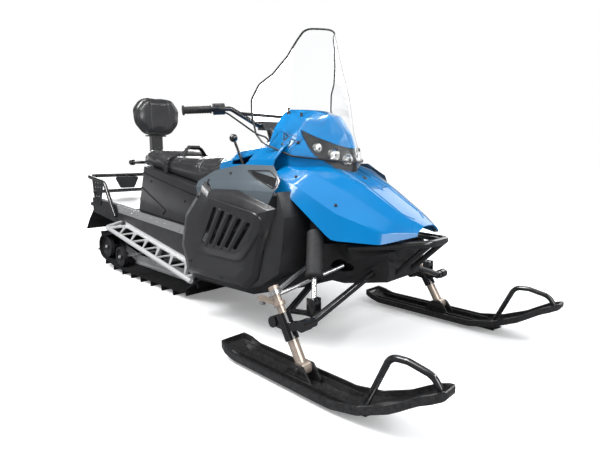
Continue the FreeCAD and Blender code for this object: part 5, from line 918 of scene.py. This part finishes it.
# The recess: its outer and inner line, then its slope as shares of the way between them and heights
RECESS_OUTER = ((0.650, 0.607), (0.280, 0.557), (0.287, 0.500), (0.398, 0.350), (0.750, 0.345))
RECESS_INNER = ((0.645, 0.580), (0.324, 0.535), (0.322, 0.506), (0.428, 0.383), (0.745, 0.385))
RECESS_STEP = ((0.0, -0.004), (0.05, 0.0045), (0.14, 0.0065), (0.26, 0.0060), (1.0, -0.0015))
RECESS_COLUMNS = 72
RECESS_TAPER_COLUMNS = 8
RECESS_END_SINK = 0.001
EASING_TURNS = 5

# Louvre blades: foot and head of the first one, then how far the next one moves and its head rises
BLADE_COUNT = 4
BLADE_FOOT, BLADE_HEAD = (0.4908, 0.3900), (0.3788, 0.5215)
BLADE_PITCH, BLADE_RISE = 0.0565, 0.0115
BLADE_FORM = (0.02, 0.0065, 0.0112)

LOUVRE_MESH_X = 0.389
LOUVRE_MESH_CELLS = (42, 22)
LOUVRE_MESH_LOW, LOUVRE_MESH_SPAN = (0.330, 0.385), (0.390, 0.185)
LOUVRE_WIRE = 0.0024
FAIRING_FACE = (
    (0.224, 0.640), (0.190, 0.547), (0.203, 0.425), (0.225, 0.330), (0.330, 0.262), (0.408, 0.235),
    (0.343, 0.287), (0.296, 0.444), (0.229, 0.578),
)
FAIRING_INNER_X = 0.3675
FAIRING_WALL = 0.004
FAIRING_EDGE = 0.0012

# Upper panels: the vent's rim, the mesh between a low and a high line, and the dark sheet behind the mesh,
# painted shade of the vent's opening
UPPER_EDGE, UPPER_EDGE_DEG = 0.003, 20.0
UPPER_SCREWS = ((0.560, 0.705), (0.700, 0.672))
UPPER_SCREW_RADIUS = 0.0065
VENT_RIM = ((0.451, 0.717), (0.315, 0.718), (0.256, 0.689), (0.240, 0.664), (0.257, 0.652), (0.386, 0.690))
VENT_RIM_FORM = (0.012, 0.0, 0.003)
VENT_LOW = ((0.246, 0.655), (0.381, 0.690))
VENT_HIGH = ((0.262, 0.690), (0.437, 0.718))
VENT_CELLS = (20, 8)
VENT_WIRE = 0.0022
VENT_X = 0.36
VENT_LIFT = 0.0006
SHADE_SHEET_WALL = 0.0006


def eased_points(corners, count):
    """Evenly spaced points along a run of corners, with the corners rounded off."""
    lengths = [(other - one).length for one, other in zip(corners, corners[1:])]
    points = []
    for number in range(count + 1):
        left = sum(lengths) * number / count
        for index, length in enumerate(lengths):
            if left <= length or index == len(lengths) - 1:
                points.append(corners[index].lerp(corners[index + 1], min(1.0, left / length)))
                break
            left -= length
    for turn in range(EASING_TURNS):
        points[1:-1] = [(before + after) / 2 for before, after in zip(points, points[2:])]
    return points


def raised_band(tree, side):
    """A moulded step on a side panel: short slope at the outer line, long slope down to the inner line."""
    outer = eased_points(side_run(side, RECESS_OUTER), RECESS_COLUMNS)
    inner = eased_points(side_run(side, RECESS_INNER), RECESS_COLUMNS)
    band, points = new_grid(RECESS_COLUMNS, len(RECESS_STEP) - 1)
    for vertex, along, across in points:
        column = round(along * RECESS_COLUMNS)
        share, lift = RECESS_STEP[round(across * (len(RECESS_STEP) - 1))]
        start = outer[column].lerp(inner[column], share)
        place = tree.ray_cast(start, inward(side))[0]
        taper = min(1.0, column / RECESS_TAPER_COLUMNS, (RECESS_COLUMNS - column) / RECESS_TAPER_COLUMNS)
        rise = lift * taper - RECESS_END_SINK * (1.0 - taper)
        vertex.co = place + Vector((side * rise, 0.0, 0.0))
    turn_outward(band)
    if band.data.polygons[0].normal.x * side < 0.0:
        band.data.flip_normals()
    return band


def make_side_panels():
    panels = softened("side_panels", "side_panel_mouldings", "panel", PANEL_EDGE,
                      PANEL_EDGE_DEG)
    tree = surface_of(panels)
    bands, blades = [], []
    for side in SIDES:
        bands.append(raised_band(tree, side))
        for number in range(BLADE_COUNT):
            along, up = BLADE_PITCH * number, BLADE_RISE * number
            foot = (BLADE_FOOT[0] + along, BLADE_FOOT[1])
            head = (BLADE_HEAD[0] + along, BLADE_HEAD[1] + up)
            blades.append(laid_wire(tree, side_run(side, (foot, head)), inward(side), *BLADE_FORM))
    finish_piece(joined(bands), "recess_bands", "panel", MOULDED_SHADE_DEG)
    finish_piece(joined(blades), "louvre_blades", "panel", MOULDED_SHADE_DEG)
    screw_heads("panel_screws", side_seats(tree, PANEL_SCREWS), PANEL_SCREW_RADIUS)


def make_fairing_faces():
    """The fairing's flat side, which closes the space between its front edge and the side panel."""
    faces = []
    for side in SIDES:
        low_x = min(side * FAIRING_INNER_X, side * (FAIRING_INNER_X + FAIRING_WALL))
        face = side_plate(FAIRING_FACE, low_x, FAIRING_WALL)
        rounded(face, FAIRING_EDGE)
        faces.append(face)
    finish_piece(joined(faces), "fairing_faces", "moulding")


def wire_mesh(sheet, thickness):
    apply_modifier(sheet, "WIREFRAME", thickness=thickness, use_boundary=True, use_even_offset=False)
    return sheet


def make_louvre_mesh():
    """Dark wire mesh behind the slots of each side panel, one pierced sheet a side."""
    (low_y, low_z), (span_y, span_z) = LOUVRE_MESH_LOW, LOUVRE_MESH_SPAN
    sheets = []
    for side in SIDES:
        sheet, points = new_grid(*LOUVRE_MESH_CELLS)
        for vertex, along, up in points:
            vertex.co = spot(side * LOUVRE_MESH_X, low_y + along * span_y, low_z + up * span_z)
        sheets.append(wire_mesh(sheet, LOUVRE_WIRE))
    finish_piece(joined(sheets), "louvre_mesh", "moulding")


def vent_sheet(tree, side):
    """A sheet over the vent that follows the panel, or stands in its plane where the panel is open."""
    sheet, points = new_grid(*VENT_CELLS)
    low, high = side_run(side, VENT_LOW), side_run(side, VENT_HIGH)
    for vertex, along, up in points:
        point = low[0].lerp(low[1], along).lerp(high[0].lerp(high[1], along), up)
        place = tree.ray_cast(point, inward(side))[0]
        if place is None:
            place = Vector((side * VENT_X, point.y, point.z))
        vertex.co = place + Vector((side * VENT_LIFT, 0.0, 0.0))
    return sheet


def make_upper_panels():
    panels = softened("upper_panels", "upper_panel_mouldings", "upper", UPPER_EDGE,
                      UPPER_EDGE_DEG)
    tree = surface_of(panels)
    rims, meshes, shade_sheets = [], [], []
    for side in SIDES:
        rims.append(laid_wire(tree, closed_run(side, VENT_RIM), inward(side), *VENT_RIM_FORM))
        sheet = vent_sheet(tree, side)
        # A dark sheet under the mesh: painted shade where the vent's opening is dark inside
        shade_sheets.append(new_object("shade_sheet", sheet.data.copy()))
        meshes.append(wire_mesh(sheet, VENT_WIRE))
    finish_piece(joined(rims + meshes), "vent_mesh", "moulding")
    for sheet in shade_sheets:
        apply_modifier(sheet, "SOLIDIFY", thickness=SHADE_SHEET_WALL, offset=0.0)
    finish_piece(joined(shade_sheets), "vent_painted_shade_sheet", "belt")
    screw_heads("upper_panel_screws", side_seats(tree, UPPER_SCREWS), UPPER_SCREW_RADIUS)


# Seat box: dark rubber lines on its sides, the lower one painted shade of a groove, and screws on its sides

BOX_EDGE, BOX_EDGE_DEG = 0.006, 20.0
BOX_LINES = (
    ((1.612, 0.600), (1.289, 0.483), (1.318, 0.458)),
    ((1.612, 0.690), (1.062, 0.590), (0.930, 0.572)),
)
BOX_LINE_FORM = (0.02, -0.0010, 0.0032)
BOX_SCREWS = ((1.104, 0.545), (1.500, 0.640))
BOX_SCREW_RADIUS = 0.007


def make_seat_box():
    box = softened("seat_box", "seat_box_moulding", "panel", BOX_EDGE, BOX_EDGE_DEG)
    tree = surface_of(box)
    lines = []
    for side in SIDES:
        lines += [laid_wire(tree, side_run(side, run), inward(side), *BOX_LINE_FORM) for run in BOX_LINES]
    # Dark rubber beads: the lower one is painted shade standing for a groove, the upper one runs along the
    # box's top edge
    finish_piece(joined(lines), "seat_box_beads_and_groove_shade", "belt")
    screw_heads("seat_box_screws", side_seats(tree, BOX_SCREWS), BOX_SCREW_RADIUS)


# Cushions: the seat's own shape blown up like foam under its cover, then sewn along its seams

CUSHION_VOXEL = 0.006
FOAM_SMOOTHING, COVER_SMOOTHING = 0.6, 0.5
CUSHION_PRESSURE = 4.0
CUSHION_FRAMES = 20
CUSHION_REST_SINK = 0.001
SEAT_SWELL, SEAT_ROUNDS, SEAT_AFTER, SEAT_FILL = 0.010, 18, 12, 0.75
BACKREST_SWELL, BACKREST_ROUNDS, BACKREST_AFTER, BACKREST_FILL = 0.005, 30, 40, 0.8
SEAM_WIDTH, SEAT_SEAM_DEPTH, BACKREST_SEAM_DEPTH = 0.014, 0.004, 0.002
SEAM_STEP = 0.008
SEAM_REACH = 0.165
FLANK_TOP, FLANK_END = 0.86, 0.80
PIPING_RADIUS, PIPING_LIFT = 0.0013, 0.0002

# Cross seams: place along the machine, lean of the flanks and their lowest height; then the long seams
FRONT_CROSSINGS = ((1.089, -0.03, 0.700), (1.279, 0.045, 0.705))
FRONT_LINE = ((0.128, 0.862), (0.160, 1.00), (0.164, 1.385))
REAR_CROSSINGS = ((1.500, 0.02, 0.760),)
REAR_LINE = ((0.164, 1.412), (0.164, 1.60), (0.142, 1.698))
BACKREST_LINE = ((0.058, 0.940), (0.066, 1.05), (0.058, 1.160))
BACKREST_RIM = ((1.822, 0.96), (1.822, 1.13))
BACKREST_CASTS = ((1.5, BACK), (2.1, (0.0, -1.0, 0.0)))


def blown_cushion(node, name, swell, rests_low, rounds, after):
    """Foam under a cover: pressed out by at most the swell, and kept off what it lies on if it rests low."""
    piece = merged_copy(node, name)
    apply_modifier(piece, "REMESH", mode="VOXEL", voxel_size=CUSHION_VOXEL)
    apply_modifier(piece, "SMOOTH", factor=FOAM_SMOOTHING, iterations=rounds)
    before = [vertex.co.copy() for vertex in piece.data.vertices]
    hold(piece)
    cloth = piece.modifiers.new("cloth", "CLOTH")
    cloth.settings.use_pressure = True
    cloth.settings.uniform_pressure_force = CUSHION_PRESSURE
    cloth.settings.effector_weights.gravity = 0.0
    for number in range(CUSHION_FRAMES):
        bpy.context.scene.frame_set(number + 1)
    bpy.ops.object.modifier_apply(modifier=cloth.name)
    bpy.context.scene.frame_set(1)
    for vertex, old in zip(piece.data.vertices, before):
        way = vertex.co - old
        if way.length > swell:
            vertex.co = old + way.normalized() * swell
        if rests_low:
            vertex.co.z = max(vertex.co.z, old.z - CUSHION_REST_SINK)
    apply_modifier(piece, "SMOOTH", factor=COVER_SMOOTHING, iterations=after)
    apply_modifier(piece, "SUBSURF", levels=1, render_levels=1)
    return piece


def sewn(piece, seams, depth):
    """Presses the cover in along its seams, deepest at the stitches."""
    points = [point for seam in seams for point in seam]
    tree = KDTree(len(points))
    for number, point in enumerate(points):
        tree.insert(point, number)
    tree.balance()
    normals = [vertex.normal.copy() for vertex in piece.data.vertices]
    for vertex, normal in zip(piece.data.vertices, normals):
        distance = tree.find(vertex.co)[2]
        if distance < SEAM_WIDTH:
            share = 1.0 - distance / SEAM_WIDTH
            vertex.co -= normal * depth * share * share


def dressed_cushion(piece, name, node, seams, depth):
    sewn(piece, seams, depth)
    finish_piece(piece, name, "vinyl", SOFT_SHADE_DEG)
    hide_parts(node)
    tree = surface_of(piece)
    cords = []
    for seam in seams:
        nearest = [tree.find_nearest(point)[:2] for point in seam[::2]]
        line = [place + normal * PIPING_LIFT for place, normal in nearest]
        cords.append(bent_wire(line, PIPING_RADIUS, FINE_SIDES))
    finish_piece(joined(cords), name + "_piping", "piping")


def seam_line(tree, corners, way):
    """A seam found by casting lines on the cushion from the straight runs between corners."""
    points = []
    for pair in zip(corners, corners[1:]):
        points += cast_line(tree, pair, way, SEAM_STEP)
    return points


def cross_seam(tree, y, lean, low_z):
    """Over the cushion from one side to the other at one place along it."""
    flanks = []
    for side in SIDES:
        line = seam_line(tree, side_run(side, ((y + lean, low_z), (y, FLANK_TOP))), inward(side))
        flanks.append([point for point in line if point.z < FLANK_END])
    over = seam_line(tree, (spot(-SEAM_REACH, y, ABOVE), spot(SEAM_REACH, y, ABOVE)), DOWN)
    return flanks[0] + over + flanks[1][::-1]


def make_seat(node, name, crossings, line):
    piece = blown_cushion(node, name, SEAT_SWELL, True, SEAT_ROUNDS, SEAT_AFTER)
    tree = surface_of(piece)
    seams = [cross_seam(tree, *crossing) for crossing in crossings]
    seams += [seam_line(tree, top_run(side, line), DOWN) for side in SIDES]
    dressed_cushion(piece, name, node, seams, SEAT_SEAM_DEPTH)


def make_backrest():
    piece = blown_cushion("backrest_pad", "backrest_cushion", BACKREST_SWELL, False, BACKREST_ROUNDS,
                          BACKREST_AFTER)
    tree = surface_of(piece)
    seams = []
    for side in SIDES:
        for y, way in BACKREST_CASTS:
            seams.append(seam_line(tree, [spot(side * x, y, z) for x, z in BACKREST_LINE], way))
    for side, rim in zip(SIDES, (BACKREST_RIM, BACKREST_RIM[::-1])):
        seams.append(seam_line(tree, side_run(side, rim), inward(side)))
    dressed_cushion(piece, "backrest_cushion", "backrest_pad", seams, BACKREST_SEAM_DEPTH)


# Strap: webbing with a stitched edge and a rubber sleeve to hold on to

STRAP_Y = 1.3767
STRAP_EDGE, STRAP_EDGE_DEG = 0.0012, 30.0
STITCH_EDGE = 0.016
STITCH_RUN = (0.095, 0.182)
STITCH_FORM = (SEAM_STEP, -0.0002, 0.0007)
SLEEVE_HALF, SLEEVE_SINK = 0.040, 0.002
SLEEVE_PROFILE = ((0.0, 0.009), (0.02, 0.0125), (0.10, 0.0135), (0.14, 0.0120), (0.5, 0.0130),
                  (0.86, 0.0120), (0.90, 0.0135), (0.98, 0.0125), (1.0, 0.009))


def make_strap():
    strap = softened("seat_strap", "passenger_strap", "webbing", STRAP_EDGE, STRAP_EDGE_DEG)
    tree = surface_of(strap)
    stitches = []
    for side in SIDES:
        for edge in (-STITCH_EDGE, STITCH_EDGE):
            run = top_run(side, [(x, STRAP_Y + edge) for x in STITCH_RUN])
            stitches.append(laid_wire(tree, run, DOWN, *STITCH_FORM, FINE_SIDES))
    finish_piece(joined(stitches), "strap_stitches", "piping")
    place, normal = seats_on(tree, [spot(0.0, STRAP_Y, ABOVE)], DOWN)[0]
    ends = [place + Vector((x, 0.0, -SLEEVE_SINK)) for x in (-SLEEVE_HALF, SLEEVE_HALF)]
    finish_piece(turned(*ends, SLEEVE_PROFILE, 24), "strap_handle", "grip")


# Shocks: folded sleeve over the spring, bright rod, and ends with eyes

SHOCK_LOW, SHOCK_TOP = (0.392, 0.022, 0.268), (0.252, 0.142, 0.508)
SLEEVE_START_SHARE, SLEEVE_END_SHARE = 0.30, 0.92
FOLD_COUNT, FOLD_PITCH_SHARE = 7, 0.13
FOLD_PEAK, FOLD_VALLEY = (0.060, 0.0325), (0.125, 0.0310)
SLEEVE_FIRST_FOLDS = ((0.0, 0.024), (0.02, 0.031))
SLEEVE_LAST_FOLDS = ((0.97, 0.032), (1.0, 0.025))
ROD_START_SHARE, ROD_OVERLAP_SHARE, ROD_RADIUS = 0.03, 0.01, 0.009
CAP_INSET, CAP_GAP = 0.002, 0.004
CAP_PROFILE = ((0.0, 0.022), (0.3, 0.0215), (0.55, 0.018), (1.0, 0.017))
EYE_PROFILE_SHARES = ((0.0, 0.84), (0.10, 1.0), (0.9, 1.0), (1.0, 0.84))
LOW_EYE, TOP_EYE = (0.014, 0.017), (0.0157, 0.020)


def fold_profile():
    """Radii of the sleeve: a peak and a valley to each fold."""
    profile = list(SLEEVE_FIRST_FOLDS)
    for number in range(FOLD_COUNT):
        rise = number * FOLD_PITCH_SHARE
        profile += [(share + rise, radius) for share, radius in (FOLD_PEAK, FOLD_VALLEY)]
    return profile + list(SLEEVE_LAST_FOLDS)


def make_shocks():
    sleeves, rods, ends = [], [], []
    for side in SIDES:
        low, top = (spot(side * x, y, z) for x, y, z in (SHOCK_LOW, SHOCK_TOP))
        way = top - low
        along = way.normalized()
        start, end = low + way * SLEEVE_START_SHARE, low + way * SLEEVE_END_SHARE
        sleeves.append(turned(start, end, fold_profile(), 40))
        rods.append(rod(low + way * ROD_START_SHARE, start + way * ROD_OVERLAP_SHARE, ROD_RADIUS, 24))
        ends.append(turned(end - along * CAP_INSET, top - along * CAP_GAP, CAP_PROFILE))
        for place, (half, radius) in ((low, LOW_EYE), (top, TOP_EYE)):
            reach = Vector((half, 0.0, 0.0))
            ends.append(turned(place - reach, place + reach, widened(EYE_PROFILE_SHARES, radius), 32))
    sleeve = finish_piece(joined(sleeves), "shock_sleeves", "sleeve", SOFT_SHADE_DEG)
    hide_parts("shocks")
    finish_piece(joined(rods), "shock_rods", "bright")
    finish_piece(joined(ends), "shock_ends", "gloss_black")


# Handlebar: ribbed grips

BAR_BEND, BAR_END = (0.196, 0.735, 1.000), (0.390, 0.825, 0.986)
GRIP_START_SHARE = 0.42
GRIP_OVERHANG = 0.008
RIB_COUNT, RIB_PITCH_SHARE = 9, 0.085
GRIP_FIRST_RINGS = ((0.0, 0.0125), (0.01, 0.0185), (0.05, 0.0190), (0.07, 0.0160))
GRIP_RIB = ((0.100, 0.0158), (0.112, 0.0172), (0.155, 0.0172), (0.167, 0.0158))
GRIP_LAST_RINGS = ((0.925, 0.0165), (0.935, 0.0220), (0.985, 0.0225), (1.0, 0.0190))


def make_grips():
    bend, end = spot(*BAR_BEND), spot(*BAR_END)
    start = bend.lerp(end, GRIP_START_SHARE)
    end += (end - bend).normalized() * GRIP_OVERHANG
    profile = list(GRIP_FIRST_RINGS)
    for number in range(RIB_COUNT):
        profile += [(share + number * RIB_PITCH_SHARE, radius) for share, radius in GRIP_RIB]
    profile += GRIP_LAST_RINGS
    pieces = []
    for side in SIDES:
        flip = Vector((side, 1.0, 1.0))
        pieces.append(turned(start * flip, end * flip, profile, 28))
    grips = finish_piece(joined(pieces), "grip_sleeves", "grip", body="handlebar")
    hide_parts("grips")


# Tunnel: rivets along its strips, bolts on its sides and the tail lamp's lens

STRIP_START_Y, STRIP_START_Z, STRIP_RISE = 0.80, 0.380, 0.0671
RIVET_START_Y, RIVET_PITCH, RIVET_COUNT, RIVET_RADIUS = 0.86, 0.080, 13, 0.0045
TUNNEL_BOLTS = ((1.105, 0.388), (1.060, 0.372), (1.030, 0.384), (1.020, 0.356), (1.42, 0.43), (1.64, 0.45))
TUNNEL_BOLT_RADIUS = 0.008
TAIL_LENS_CORNERS = ((-0.078, 0.634), (-0.046, 0.568), (0.046, 0.568), (0.078, 0.634))
TAIL_LENS_Y = 2.3385
TAIL_LENS_DEPTH, TAIL_LENS_BORDER, TAIL_LENS_RISE, TAIL_LENS_EDGE = 0.005, 0.006, 0.003, 0.002


def make_rivets():
    """Bright rivet heads along the tunnel's grey strips."""
    tree = surface_of(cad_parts["tunnel_side_strips"])
    lengths = [RIVET_START_Y + number * RIVET_PITCH for number in range(RIVET_COUNT)]
    places = [(y, STRIP_START_Z + (y - STRIP_START_Y) * STRIP_RISE) for y in lengths]
    screw_heads("strip_rivets", side_seats(tree, places), RIVET_RADIUS, "bright")


def make_tunnel_bolts():
    """Bright bolt heads on the tunnel's sides, where the frame of the track's suspension is fixed."""
    tree = surface_of(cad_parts["tunnel"])
    screw_heads("tunnel_bolts", side_seats(tree, TUNNEL_BOLTS), TUNNEL_BOLT_RADIUS, "bright")


def make_tail_lens():
    """The red lens on the lamp's rear face, with a border round a raised middle."""
    lens = open_face([spot(x, TAIL_LENS_Y, z) for x, z in TAIL_LENS_CORNERS])
    pull(0.0, TAIL_LENS_DEPTH, 0.0)
    bpy.ops.mesh.inset(thickness=TAIL_LENS_BORDER)
    bpy.ops.transform.translate(value=(0.0, TAIL_LENS_RISE, 0.0))
    turn_outward(lens)
    rounded(lens, TAIL_LENS_EDGE)
    finish_piece(lens, "tail_lens", "red")


bpy.context.scene.view_settings.view_transform = "Standard"
make_camera()
make_world()
make_floor()
make_lamps()
finishes = build_finishes()
dress_nodes()
make_hood()
make_cowl()
make_mouldings()
make_lamp_bowls()
make_screen_edge()
make_screen_screws()
make_side_panels()
make_fairing_faces()
make_louvre_mesh()
make_upper_panels()
make_seat_box()
make_seat("front_seat", "front_cushion", FRONT_CROSSINGS, FRONT_LINE)
make_seat("rear_seat", "rear_cushion", REAR_CROSSINGS, REAR_LINE)
make_backrest()
make_strap()
make_shocks()
make_grips()
make_rivets()
make_tunnel_bolts()
make_tail_lens()
